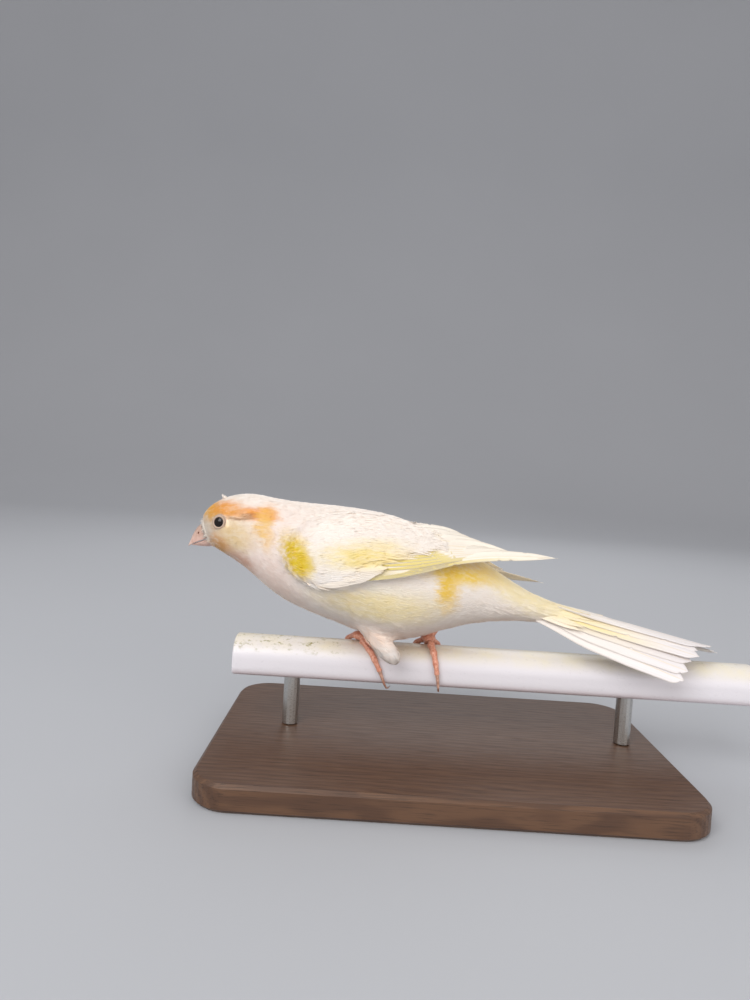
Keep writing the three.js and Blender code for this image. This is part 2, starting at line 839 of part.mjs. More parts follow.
// The line of a toe and its claw round the perch, starting beside the palm.
function toeLine(leg, toe, hind, from, to, away) {
  const turn = hind ? -1 : 1;
  const middleRadius = (PERCH.dome + PERCH.halfWidth) / 2 + toe.radius;
  const lean = hind ? leg.hindLean : toe.lean;
  const points = [];
  for (let i = 0; i <= TOE.bends; i += 1) {
    const gone = lerp(from, to, i / TOE.bends);
    const angle = degToRad(toe.start) + (turn * gone) / middleRadius;
    const [y, z] = aroundPerch(angle, away(i / TOE.bends));
    const spread = lean * (gone + TOE.palm) * (1 - gone / TOE.bendBack);
    points.push(new THREE.Vector3(leg.foot[0] + spread, y, z));
  }
  return new THREE.CatmullRomCurve3(points);
}

function toeSolid(leg, toe, hind, grow) {
  const away = (share) => GAP + lerp(toe.radius, TOE.endRadius, share);
  const line = toeLine(leg, toe, hind, -grow, toe.long + grow, away);
  return solidOf(
    tube(line, TOE.steps, TOE.around, (share) => {
      const knuckle = TOE.bulge * Math.cos(2 * Math.PI * TOE.joints * share);
      return lerp(toe.radius, TOE.endRadius, share) * (1 + knuckle) + grow;
    }),
  );
}

function clawGeometry(leg, toe, hind) {
  const start = toe.long + GAP;
  const away = (share) => GAP + TOE.endRadius + CLAW.lift * Math.sin(Math.PI * share);
  const line = toeLine(leg, toe, hind, start, start + toe.claw, away);
  return tube(line, CLAW.steps, CLAW.around, (share) =>
    lerp(CLAW.baseRadius, CLAW.tipRadius, share ** 0.8),
  );
}

// The whole part

add("stand_base", standBase(), COLOURS.wood, 0.6);
add("stand_rod_left", standRod(ROD.leftX), COLOURS.steel, 0.4);
add("stand_rod_right", standRod(ROD.rightX), COLOURS.steel, 0.4);
add("perch", perch(), COLOURS.perch, 0.4);

const [headFlesh, neckFlesh, torsoFlesh, tailFlesh] = bodyPieces();
const bodyGrown = bodySolid(GAP);
const legTools = Object.values(LEGS).map((leg) => shank(leg, GAP));
const toeTools = Object.values(LEGS).flatMap((leg) =>
  Object.entries(TOES).map(([name, toe]) => toeSolid(leg, toe, name === "hind", GAP)),
);

const headTools = [mandible(true, GAP), mandible(false, GAP)];
const lidRims = [-1, 1].map((side) => solidOf(lids(side)));
const sockets = [-1, 1].map((side) => solidOf(eyeball(side, GAP)));
add("head", cutBy(joined([headFlesh, ...lidRims]), [...sockets, ...headTools]), COLOURS.plumage);
add("neck", neckFlesh, COLOURS.plumage);
add("torso", cutBy(torsoFlesh, [...legTools, ...toeTools]), COLOURS.plumage);
add("eye_left", eyeball(-1, 0), COLOURS.eye, 0.1);
add("eye_right", eyeball(1, 0), COLOURS.eye, 0.1);
add("bill_upper", cutBy(mandible(true, 0), [nostril(-1), nostril(1)]), COLOURS.bill, 0.4);
add("bill_lower", mandible(false, 0), COLOURS.bill, 0.4);

const random = seeded(7);
add("wing_left", wingSolid(WINGS.left, [bodyGrown], random), COLOURS.vane);
add("wing_right", wingSolid(WINGS.right, [bodyGrown], random), COLOURS.vane);
add("tail", joined([tailFlesh, ...tailVanes(random)]), COLOURS.vane);

for (const [sideName, leg] of Object.entries(LEGS)) {
  const shankGrown = shank(leg, GAP);
  add(`thigh_${sideName}`, thigh(leg, 0).subtract(bodyGrown), COLOURS.plumage);
  add(`shank_${sideName}`, shank(leg, 0).subtract(thigh(leg, GAP)), COLOURS.leg, 0.5);
  const middleGrown = toeSolid(leg, TOES.middle, false, GAP);
  for (const [toeName, toe] of Object.entries(TOES)) {
    const hind = toeName === "hind";
    const clear = hind || toeName === "middle" ? [shankGrown] : [shankGrown, middleGrown];
    add(`toe_${toeName}_${sideName}`, cutBy(toeSolid(leg, toe, hind, 0), clear), COLOURS.leg, 0.5);
    add(`claw_${toeName}_${sideName}`, clawGeometry(leg, toe, hind), COLOURS.claw, 0.35);
  }
}

export default part;
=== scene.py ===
"""A canary on a perch, dressed around its solids: skin, feathers, eyes, bill, legs, perch and stand."""

import itertools
import math

import bpy
import numpy as np
from mathutils import Matrix, Vector
from mathutils.bvhtree import BVHTree


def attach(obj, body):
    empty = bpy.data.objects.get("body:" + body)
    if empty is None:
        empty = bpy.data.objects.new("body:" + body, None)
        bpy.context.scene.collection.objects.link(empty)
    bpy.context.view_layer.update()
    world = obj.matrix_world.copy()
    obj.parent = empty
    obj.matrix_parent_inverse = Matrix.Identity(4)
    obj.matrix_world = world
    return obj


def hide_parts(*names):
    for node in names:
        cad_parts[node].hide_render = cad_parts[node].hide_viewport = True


bl_info = {
    "name": "Canary on a perch",
    "version": (1, 0, 0),
    "blender": (4, 5, 0),
    "location": "3D View > Sidebar > Canary",
    "description": "Dresses the packed canary with skin, feathers, eyes, bill, legs, perch and stand",
    "category": "Object",
}

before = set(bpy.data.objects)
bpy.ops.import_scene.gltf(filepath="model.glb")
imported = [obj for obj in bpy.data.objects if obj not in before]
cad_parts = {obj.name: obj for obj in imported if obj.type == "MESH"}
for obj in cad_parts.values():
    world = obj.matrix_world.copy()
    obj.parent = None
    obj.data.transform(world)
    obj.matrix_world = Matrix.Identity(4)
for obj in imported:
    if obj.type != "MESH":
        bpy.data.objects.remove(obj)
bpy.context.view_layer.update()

# Sizes in this file are in millimetres, as in the part's source, and meshes are made in metres.
MM = 0.001
PERCH_TOP = 28.0

# The body: place along it, height of back and of belly over the perch, and half width.
BODY_ROWS = [
    (-62.6, 27.8, 25.6, 0.7),
    (-61.6, 30.4, 24.0, 3.2),
    (-59.4, 32.6, 21.9, 5.4),
    (-56.0, 34.5, 20.2, 7.4),
    (-50.5, 35.7, 16.9, 9.0),
    (-44.0, 35.1, 11.7, 10.6),
    (-37.0, 34.6, 8.2, 13.2),
    (-28.0, 34.3, 5.3, 15.8),
    (-18.0, 33.3, 2.2, 16.8),
    (-11.0, 31.5, 1.8, 16.3),
    (-3.0, 28.6, 4.3, 14.2),
    (5.0, 24.6, 6.7, 10.6),
    (13.0, 19.6, 7.8, 7.2),
    (21.0, 15.4, 8.0, 5.0),
    (28.0, 13.2, 7.6, 3.8),
    (34.0, 11.4, 8.4, 1.4),
]
WIDEST_AT = 0.47
BODY_POWER = 2.1

# The perch: its ends, height, dome over the widest place, half depth, middle and rounding.
PERCH = {
    "left": -52.5,
    "right": 77.0,
    "high": 9.4,
    "dome": 5.2,
    "half": 5.8,
    "middle": 2.5,
    "dome_power": 2.2,
    "foot_power": 4.5,
    "bevel": 0.5,
}

# Bare is how far round the eye no feather grows. Each lid is a ring: its radius, its thickness and
# how far it is sunk.
EYE = {
    "x": -56.6,
    "over": 28.5,
    "radius": 2.1,
    "ball": 0.98,
    "proud": 0.45,
    "out": (-0.28, 1.0, 0.12),
    "bare": 1.85,
    "lids": [(1.38, 0.23, 0.0), (1.65, 0.3, 0.22)],
}

# Tip and root give the bill's direction, and bristles lean in towards its core. In front of bare_from
# no feather grows this near to its base.
BILL = {
    "tip": (-66.2, 0.0, 21.5),
    "root": (-60.6, 0.0, 24.4),
    "core": (-61.5, 0.0, 24.0),
    "base": (-61.5, 0.0, 24.4),
    "bare": 2.3,
    "bare_from": -60.4,
}

# Each wing's lower and upper edge by place along the body and height over the perch, and how far
# its outer side stands from the middle line at these edges.
WINGS = {
    "left": {
        "side": -1,
        "lower": [
            (-42, 21.5),
            (-37, 17.2),
            (-30, 15.8),
            (-22, 17.7),
            (-13, 19.6),
            (-2, 22.4),
            (9, 24),
            (25, 24.5),
        ],
        "upper": [
            (-42, 24),
            (-37, 30),
            (-30, 33.6),
            (-18, 34),
            (-7, 31.5),
            (5, 27.6),
            (12, 26.1),
            (25, 24.7),
        ],
        "far_low": [(-42, 8), (-5, 13.5), (9, 10), (25, 4.4)],
        "far_high": [(-42, 2), (-5, 2.8), (9, 3), (25, 3.6)],
    },
    "right": {
        "side": 1,
        "lower": [(-42, 21.5), (-37, 17.2), (-30, 15.8), (-13, 16), (0, 16.4), (12, 16.6), (26, 16.4)],
        "upper": [
            (-42, 24),
            (-37, 30),
            (-30, 33.6),
            (-18, 33.7),
            (-7, 30.5),
            (5, 25.6),
            (14, 21.4),
            (26, 16.8),
        ],
        "far_low": [(-42, 8), (-5, 13.5), (9, 10.4), (26, 6.6)],
        "far_high": [(-42, 2), (-5, 2.8), (9, 4.4), (26, 6)],
    },
}
# Both wings: their front, the end of their flesh, their depth over the body, thickness and rounding.
WING = {"front": -42.0, "core_end": -3.0, "skin": 1.6, "plate": 3.0, "rounding": 1.6}

# Rows of wing feathers from the lowest to the topmost: how many, place along the body and share
# across the wing of the first and last root and tip, half width, and lift over the wing.
WING_ROWS = [
    ("primary", 9, [(-27, 0.07), (-19, 0.2)], [(24.6, 0.4), (13, 0.5)], 1.5, 0.1),
    ("secondary", 7, [(-22, 0.2), (-18, 0.54)], [(18, 0.45), (6, 0.74)], 1.8, 0.3),
    ("tertial", 4, [(-16, 0.5), (-13, 0.84)], [(14, 0.58), (3, 0.88)], 2.3, 0.45),
    ("primary covert", 7, [(-33, 0.05), (-29, 0.22)], [(-19.5, 0.06), (-16, 0.18)], 0.9, 0.35),
    ("greater covert", 9, [(-29, 0.14), (-26, 0.8)], [(-19, 0.18), (-14, 0.78)], 1.7, 0.3),
]

# How much of the coloured outer edge, and of the body's own colours, each kind of wing feather
# shows. The right wing's edges show only a share of it.
WING_TINTS = {
    "primary": (1.0, 0.0),
    "secondary": (1.0, 0.0),
    "tertial": (0.15, 0.1),
    "primary covert": (0.0, 0.6),
    "greater covert": (0.2, 1.0),
}
RIGHT_WING_EDGE = 0.3

# How far from its tip each kind of wing feather starts to narrow, as a share of its length.
POINTED = {"primary": 0.28, "secondary": 0.4, "tertial": 0.5, "primary covert": 0.25, "greater covert": 0.25}

# A feather's sheet: points across it, thickness, shaft height and half width, and its two webs.
VANE = {"columns": 9, "thick": 0.16, "shaft": 0.09, "shaft_half": 0.12, "webs": (1.15, 0.85)}

# The tail's root and tip in its middle, and how they move towards its sides.
TAIL = {
    "root": (21.5, 3.1, 13.4),
    "root_fall": {"left": 4.0, "right": 2.4},
    "tip": (63.0, -4.0, 4.9),
    "tip_lean": 8.0,
    "tip_half": 9.5,
    "tip_fall": {"left": 6.2, "right": 2.8},
    "stack": 0.9,
    "yellow_at": -0.42,
}

# Rows of tail feathers: how many, spread to each side, start and end as shares of the tail's length,
# half width and lift.
TAIL_ROWS = [
    ("fan", 12, 1.0, -0.02, 1.0, 2.7, 0.0),
    ("upper", 13, 0.9, -0.1, 0.44, 1.0, 0.5),
    ("under", 9, 0.75, -0.06, 0.42, 1.0, -0.6),
]

LEGS = {
    "left": {"hip": (-22, -7.5, 10), "heel": (-13.2, -9.4, -1), "foot": (-22, 2.2, 1.5)},
    "right": {"hip": (-6, 7.5, 14.5), "heel": (3.2, 12, 9.8), "foot": (-4.3, 3.6, 1.5)},
}
TAIL_ROOT = {"from": 15.0, "to": 32.5, "rings": 16, "around": 40}
FLESH = ["head", "neck", "torso", "thigh_left", "thigh_right"]
SKIN = {"voxel": 0.5, "rounds": 10, "depth": 0.8, "face_depth": 0.35, "thigh_depth": 0.5}

# Voxel size and rounds of smoothing of the copies of hard parts, and how far the lower mandible is
# drawn back into the face.
SMOOTHED = {"bill": (0.12, 6), "shank": (0.16, 5), "toe": (0.12, 4), "claw": (0.08, 3)}
MANDIBLE_ROOTS = (0.4, 0.8)
KNUCKLE_RADII = (0.3, 0.8)

# Length and width of the tufts by part of the bird, how far their middles lift, how close they
# stand for their size, how far those of the wing stand over its vanes, and the size of a tuft's
# patch in the baked picture.
COAT = {
    "body": (6.4, 2.6),
    "neck": (3.8, 1.7),
    "face": (1.7, 0.8),
    "rear": (6.5, 1.9),
    "thigh": (4.4, 1.0),
    "lift": 0.3,
    "thigh_lift": 0.7,
    "closeness": 0.27,
    "tried": 110000,
    "hull_voxel": 0.6,
    "over_vanes": 0.8,
    "patch": 0.003,
}

# Where the small feathers of the wing end, low and high on it, and the shares across between them.
CAPE = {"low_end": -24.5, "high_end": -1.0, "low": 0.14, "high": 0.62, "ragged": (-2.5, 1.5)}

# Parts of the coat from front to back: each ends at this place along the body.
COAT_PARTS = [("face", -52), ("crown", -44), ("breast", -30), ("body", -8)]
FINE_PARTS = ("face", "crown", "thighs")
BARBS = {"fine": 6, "coarse": 10}
TUFT_FORMS = 6

# Bristles grow from the face in front of a place along the body, this near the bill.
BRISTLES = {
    "from": -57.5,
    "near": 1.5,
    "lengths": (1.1, 2.2),
    "half": 0.2,
    "forms": 5,
    "crown": (-56.4, -1.5, 33.9),
    "crown_count": 7,
    "crown_lengths": (0.8, 1.4),
}

# The camera's place, and its tilt and roll in degrees.
CAMERA = {"place": (-20.0, -177.5, 71.8), "pitch": 2.6, "roll": 3.6}

# The studio, in metres: the floor bends up to a wall behind the bird. Lights: name, place, size,
# share of the main light's power and tint.
FLOOR = {"size": 5.0, "middle": -1.0, "wall": 3.0, "bend": 0.8}
LIGHTS = [
    ("Key", (-0.3, -0.55, 0.5), 0.5, 1.0, (1.0, 1.0, 1.0)),
    ("Fill", (0.4, -0.55, 0.1), 0.7, 0.6, (1.0, 0.93, 0.88)),
    ("Rim", (0.1, 0.5, 0.5), 0.5, 0.3, (1.0, 1.0, 1.0)),
]
LIGHTS_AIM = (0, 0, 0.045)
SKY = (0.62, 0.6, 0.6, 1)


# Small helpers


def settings():
    """The values that the panel shows."""
    return bpy.context.scene.canary


def linear(red, green, blue):
    """A colour given as 0 to 255 screen values, in the render's own linear values."""
    shares = [c / 255 for c in (red, green, blue)]
    return tuple(s / 12.92 if s <= 0.04045 else ((s + 0.055) / 1.055) ** 2.4 for s in shares) + (1.0,)


def smooth(x, low, high):
    """A soft step from 0 at low to 1 at high, which may be the smaller one."""
    t = np.clip((np.asarray(x, float) - low) / (high - low), 0, 1)
    return t * t * (3 - 2 * t)


def mix(a, b, share):
    """The value that is this share of the way from a to b."""
    return a + (b - a) * share


def unit(vectors):
    """Vectors with a length of one."""
    vectors = np.asarray(vectors, float)
    return vectors / np.maximum(np.linalg.norm(vectors, axis=-1, keepdims=True), 1e-9)


def over(point):
    """A point given by x, y and its height over the perch."""
    return np.array([point[0], point[1], point[2] + PERCH_TOP], float)


def through(rows, column=1):
    """A smooth function through one column of the rows, given the first column."""
    known = np.array([row[0] for row in rows], float)
    value = np.array([row[column] for row in rows], float)
    last = len(known) - 1
    before = np.maximum(np.arange(last + 1) - 1, 0)
    after = np.minimum(np.arange(last + 1) + 1, last)
    slope = (value[after] - value[before]) / (known[after] - known[before])

    def at(x):
        i = np.clip(np.searchsorted(known, x, side="left") - 1, 0, last - 1)
        span = known[i + 1] - known[i]
        s = np.clip((x - known[i]) / span, 0, 1)
        rise = value[i + 1] - value[i]
        bend_in = slope[i] * span - rise
        bend_out = rise - slope[i + 1] * span
        return value[i] + rise * s + s * (1 - s) * (bend_in * (1 - s) + bend_out * s)

    return at


back_at = through(BODY_ROWS, 1)
belly_at = through(BODY_ROWS, 2)
half_at = through(BODY_ROWS, 3)


def body_half(x, z, grow=0.0):
    """Half width of the body at a place and height."""
    top = PERCH_TOP + back_at(x) + grow
    bottom = PERCH_TOP + belly_at(x) - grow
    level = mix(bottom + grow, top - grow, WIDEST_AT)
    share = np.abs(z - level) / np.where(z > level, top - level, level - bottom)
    return (half_at(x) + grow) * np.maximum(1 - share**BODY_POWER, 0) ** (1 / BODY_POWER)


def wing_surface(wing):
    """Outer surface of a folded wing, by place along the body and share from its lower edge up."""
    lower, upper = through(wing["lower"]), through(wing["upper"])
    far_low, far_high = through(wing["far_low"]), through(wing["far_high"])

    def at(x, across):
        x, across = np.broadcast_arrays(np.asarray(x, float), np.asarray(across, float))
        z = PERCH_TOP + mix(lower(x), upper(x), across)
        skin = WING["skin"] * smooth(x, WING["front"] - 2, WING["front"] + 6)
        far, near = mix(far_low(x), far_high(x), across), body_half(x, z, skin)
        y = (far + near + np.hypot(far - near, WING["rounding"])) / 2
        return np.stack([x, wing["side"] * y, z], -1)

    return at


def wing_outward(surface, side, x, across):
    """The way out of a wing's surface, turned upright towards its rear."""
    along = surface(x + 1, across) - surface(x - 1, across)
    up = surface(x, across + 0.05) - surface(x, across - 0.05)
    out = unit(np.cross(up, along) * side)
    upright = unit(np.array([0.0, 0.85 * side, 0.5]))
    return unit(mix(out, upright, smooth(x, -14, 6)[..., None]))


def bill_forward():
    """The direction in which the bill points."""
    return unit(over(BILL["tip"]) - over(BILL["root"]))


def eye_place(side):
    """The middle of an eye on the skin, and its way out."""
    z = PERCH_TOP + EYE["over"]
    half = float(body_half(np.array(EYE["x"]), np.array(z)))
    out = unit(np.array([EYE["out"][0], side * EYE["out"][1], EYE["out"][2]]))
    return np.array([EYE["x"], side * half, z]), out


# Meshes from arrays


class Sheaf:
    """Collects many small closed shapes and makes one mesh of them."""

    def __init__(self):
        self.points, self.faces, self.lie, self.bake, self.count = [], [], [], [], 0
        self.values = {"tone": [], "edge": [], "soft": []}
        self.normals = []

    def add(self, points, faces, lie, bake, tone, edge=0.0, soft=1.0, normals=None):
        """Adds a shape: lie is its place along and across the feather, bake its place in the baked picture."""
        self.points.append(np.asarray(points, float).reshape(-1, 3))
        self.faces.append(np.asarray(faces) + self.count)
        self.lie.append(np.asarray(lie, float).reshape(-1, 2))
        self.bake.append(np.asarray(bake, float).reshape(-1, 2))
        for key, value in (("tone", tone), ("edge", edge), ("soft", soft)):
            self.values[key].append(np.ones(len(self.points[-1])) * value)
        if normals is not None:
            self.normals.append(np.asarray(normals, float).reshape(-1, 3))
        self.count += len(self.points[-1])

    def make(self, name):
        """The mesh of all the shapes, as an object in the scene."""
        points = np.concatenate(self.points) * MM
        widths = [faces.shape[1] for faces in self.faces]
        corners = np.concatenate([faces.reshape(-1) for faces in self.faces])
        totals = np.concatenate([np.full(len(f), w) for f, w in zip(self.faces, widths)])
        mesh = bpy.data.meshes.new(name)
        mesh.vertices.add(len(points))
        mesh.vertices.foreach_set("co", points.astype(np.float32).ravel())
        mesh.loops.add(len(corners))
        mesh.loops.foreach_set("vertex_index", corners.astype(np.int32))
        mesh.polygons.add(len(totals))
        starts = np.concatenate([[0], np.cumsum(totals)[:-1]])
        mesh.polygons.foreach_set("loop_start", starts.astype(np.int32))
        for layer, values in (("OFBake", self.bake), ("Lie", self.lie)):
            uv = mesh.uv_layers.new(name=layer)
            uv.data.foreach_set("uv", np.concatenate(values)[corners].astype(np.float32).ravel())
        for key, values in self.values.items():
            attribute = mesh.attributes.new(key, "FLOAT", "POINT")
            attribute.data.foreach_set("value", np.concatenate(values).astype(np.float32))
        mesh.update(calc_edges=True)
        mesh.shade_smooth()
        if self.normals:
            mesh.normals_split_custom_set(np.concatenate(self.normals).astype(np.float32))
        return linked(name, mesh)


def grid_faces(rows, columns, skip=0):
    """Quads over a grid of points, row by row."""
    i, j = np.meshgrid(np.arange(rows - 1), np.arange(columns - 1), indexing="ij")
    a = (i * columns + j).ravel() + skip
    return np.stack([a, a + 1, a + columns + 1, a + columns], 1)


def sheet_faces(rows, columns):
    """Faces of a closed sheet: a grid above, a grid below it and a rim between them."""
    under = rows * columns
    above = grid_faces(rows, columns)
    below = grid_faces(rows, columns, under)[:, ::-1]
    rim = []
    for j in (0, columns - 1):
        a = np.arange(rows - 1) * columns + j
        quad = np.stack([a, a + columns, a + columns + under, a + under], 1)
        rim.append(quad if j == 0 else quad[:, ::-1])
    for i in (0, rows - 1):
        a = i * columns + np.arange(columns - 1)
        quad = np.stack([a, a + 1, a + 1 + under, a + under], 1)
        rim.append(quad[:, ::-1] if i == 0 else quad)
    return np.concatenate([above, below, *rim])


def closed_tube(rings, lie, bake):
    """A sheaf with one tube through rings of points, closed by a face at each end."""
    count, around = rings.shape[:2]
    i, j = np.meshgrid(np.arange(count - 1), np.arange(around), indexing="ij")
    a, b = (i * around + j).ravel(), (i * around + (j + 1) % around).ravel()
    sheaf = Sheaf()
    sheaf.add(rings, np.stack([a, a + around, b + around, b], 1), lie, bake, 0)
    sheaf.faces.append(np.arange(around)[None])
    sheaf.faces.append(((count - 1) * around + np.arange(around))[None, ::-1])
    return sheaf


# Meshes from Blender's own tools


def select_only(*pieces):
    """Selects these pieces, or nothing, and makes the first one active."""
    for piece in bpy.context.selected_objects:
        piece.select_set(False)
    for piece in pieces:
        piece.select_set(True)
    if pieces:
        bpy.context.view_layer.objects.active = pieces[0]


def added_primitive(name):
    """The primitive that was just added, named and with its place in its mesh."""
    piece = bpy.context.active_object
    piece.name = name
    bpy.ops.object.transform_apply(location=True, rotation=True, scale=True)
    return piece


def linked(name, mesh):
    """A new object with this mesh, in the scene."""
    piece = bpy.data.objects.new(name, mesh)
    bpy.context.scene.collection.objects.link(piece)
    return piece


def apply_modifier(piece, kind, **values):
    """Adds a modifier with these values and applies it."""
    select_only(piece)
    modifier = piece.modifiers.new(kind.title(), kind)
    for key, value in values.items():
        setattr(modifier, key, value)
    bpy.ops.object.modifier_apply(modifier=modifier.name)


def merged_copy(name, nodes, extra=()):
    """One mesh made of copies of CAD nodes and of extra pieces, with doubled points merged."""
    copies = [*extra, *(linked(name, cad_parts[node].data.copy()) for node in nodes)]
    select_only(*copies)
    if len(copies) > 1:
        bpy.ops.object.join()
    piece = bpy.context.view_layer.objects.active
    piece.name = name
    piece.data.name = name
    piece.data.materials.clear()
    bpy.ops.object.mode_set(mode="EDIT")
    bpy.ops.mesh.select_all(action="SELECT")
    bpy.ops.mesh.remove_doubles(threshold=0.01 * MM)
    bpy.ops.object.mode_set(mode="OBJECT")
    return piece


def smoothed_copy(name, nodes, voxel, rounds, extra=()):
    """A rounded copy of CAD nodes: remeshed finely and smoothed."""
    piece = merged_copy(name, nodes, extra)
    apply_modifier(piece, "REMESH", mode="VOXEL", voxel_size=voxel * MM)
    apply_modifier(piece, "SMOOTH", factor=0.5, iterations=rounds)
    piece.data.shade_smooth()
    return piece


def knuckle(first, second):
    """A ball that fills the gap where the second CAD node starts from the first."""
    near, far = points_of(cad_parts[first]), points_of(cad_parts[second])
    gaps = np.linalg.norm(near[:, None] - far[None], axis=2)
    facing = gaps.min() + 0.3
    end, start = far[gaps.min(0) < facing], near[gaps.min(1) < facing]
    middle = (end.mean(0) + start.mean(0)) / 2
    radius = np.clip(np.linalg.norm(end - end.mean(0), axis=1).max(), *KNUCKLE_RADII)
    select_only()
    bpy.ops.mesh.primitive_uv_sphere_add(
        segments=20, ring_count=12, radius=radius * MM, location=Vector(middle) * MM
    )
    return added_primitive("knuckle")


def points_of(piece):
    """A mesh's points in millimetres."""
    values = np.zeros(len(piece.data.vertices) * 3, np.float32)
    piece.data.vertices.foreach_get("co", values)
    return values.reshape(-1, 3).astype(float) / MM


def normals_of(piece):
    """A mesh's normals, point by point."""
    values = np.zeros(len(piece.data.vertices) * 3, np.float32)
    piece.data.vertices.foreach_get("normal", values)
    return values.reshape(-1, 3).astype(float)


def triangles_of(piece):
    """The point numbers of a mesh's triangles."""
    piece.data.calc_loop_triangles()
    corners = np.zeros(len(piece.data.loop_triangles) * 3, np.int32)
    piece.data.loop_triangles.foreach_get("vertices", corners)
    return corners.reshape(-1, 3)


def set_points(piece, points):
    """Moves a mesh's points to these places in millimetres."""
    piece.data.vertices.foreach_set("co", (points * MM).astype(np.float32).ravel())
    piece.data.update()


def finish_piece(piece, material, slot, *nodes):
    """Gives a piece its material and says which nodes it replaces and its body. Slot is not used."""
    piece.data.materials.clear()
    piece.data.materials.append(material)
    if nodes:
        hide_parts(*nodes)
    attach(piece, "root")
    return piece


# Node groups and materials


class Nodes:
    """Adds shader nodes to a tree in short lines."""

    def __init__(self, tree):
        self.tree = tree

    def add(self, kind, **values):
        """A new node with these settings."""
        node = self.tree.nodes.new("ShaderNode" + kind)
        for key, value in values.items():
            setattr(node, key, value)
        return node

    def link(self, source, target):
        """Feeds a socket or a plain value to an input."""
        if isinstance(source, bpy.types.NodeSocket):
            self.tree.links.new(source, target)
        else:
            target.default_value = source

    def place(self):
        """Object coordinates in millimetres."""
        return self.vector("SCALE", self.add("TexCoord").outputs["Object"], 1 / MM)

    def parts(self, vector):
        """The X, Y and Z of a vector."""
        node = self.add("SeparateXYZ")
        self.link(vector, node.inputs[0])
        return node.outputs

    def bump(self, shader, height, strength, distance):
        """A bump of this height on the shader's normal. Distance is in millimetres."""
        node = self.add("Bump")
        node.inputs["Strength"].default_value = strength
        node.inputs["Distance"].default_value = distance * MM
        self.link(height, node.inputs["Height"])
        self.link(node.outputs[0], shader["Normal"])

    def math(self, operation, a, b=0.0):
        """A number made of two numbers."""
        node = self.add("Math", operation=operation)
        self.link(a, node.inputs[0])
        self.link(b, node.inputs[1])
        return node.outputs[0]

    def vector(self, operation, a, b=(0.0, 0.0, 0.0), out=0):
        """A vector made of two vectors."""
        node = self.add("VectorMath", operation=operation)
        self.link(a, node.inputs[0])
        if operation == "SCALE":
            self.link(b, node.inputs["Scale"])
        elif len(node.inputs) > 1:
            self.link(b, node.inputs[1])
        return node.outputs[out]

    def span(self, value, low, high, to_low=0.0, to_high=1.0):
        """A soft step between two values as the input goes from low to high."""
        node = self.add("MapRange", interpolation_type="SMOOTHSTEP")
        self.link(value, node.inputs["Value"])
        for key, number in (("From Min", low), ("From Max", high), ("To Min", to_low), ("To Max", to_high)):
            self.link(number, node.inputs[key])
        return node.outputs["Result"]

    def blend(self, share, a, b, how="MIX"):
        """A colour mixed of two."""
        node = self.add("Mix", data_type="RGBA", blend_type=how)
        self.link(share, node.inputs["Factor"])
        self.link(a, node.inputs["A"])
        self.link(b, node.inputs["B"])
        return node.outputs["Result"]

    def noise(self, vector, scale, detail=3.0, roughness=0.5):
        """The outputs of a noise."""
        node = self.add("TexNoise")
        self.link(vector, node.inputs["Vector"])
        node.inputs["Scale"].default_value = scale
        node.inputs["Detail"].default_value = detail
        node.inputs["Roughness"].default_value = roughness
        return node.outputs


def new_group(name, outputs):
    """A node group with these outputs, the helper that adds nodes to it, and its end's inputs."""
    tree = bpy.data.node_groups.new(name, "ShaderNodeTree")
    for label, kind in outputs:
        tree.interface.new_socket(name=label, in_out="OUTPUT", socket_type="NodeSocket" + kind)
    return tree, Nodes(tree), tree.nodes.new("NodeGroupOutput").inputs


def new_material(name):
    """A material with its shader, and the helper that adds nodes to it."""
    material = bpy.data.materials.new(name)
    material.use_nodes = True
    tree = material.node_tree
    shader = next(n for n in tree.nodes if n.type == "BSDF_PRINCIPLED")
    return material, Nodes(tree), shader.inputs
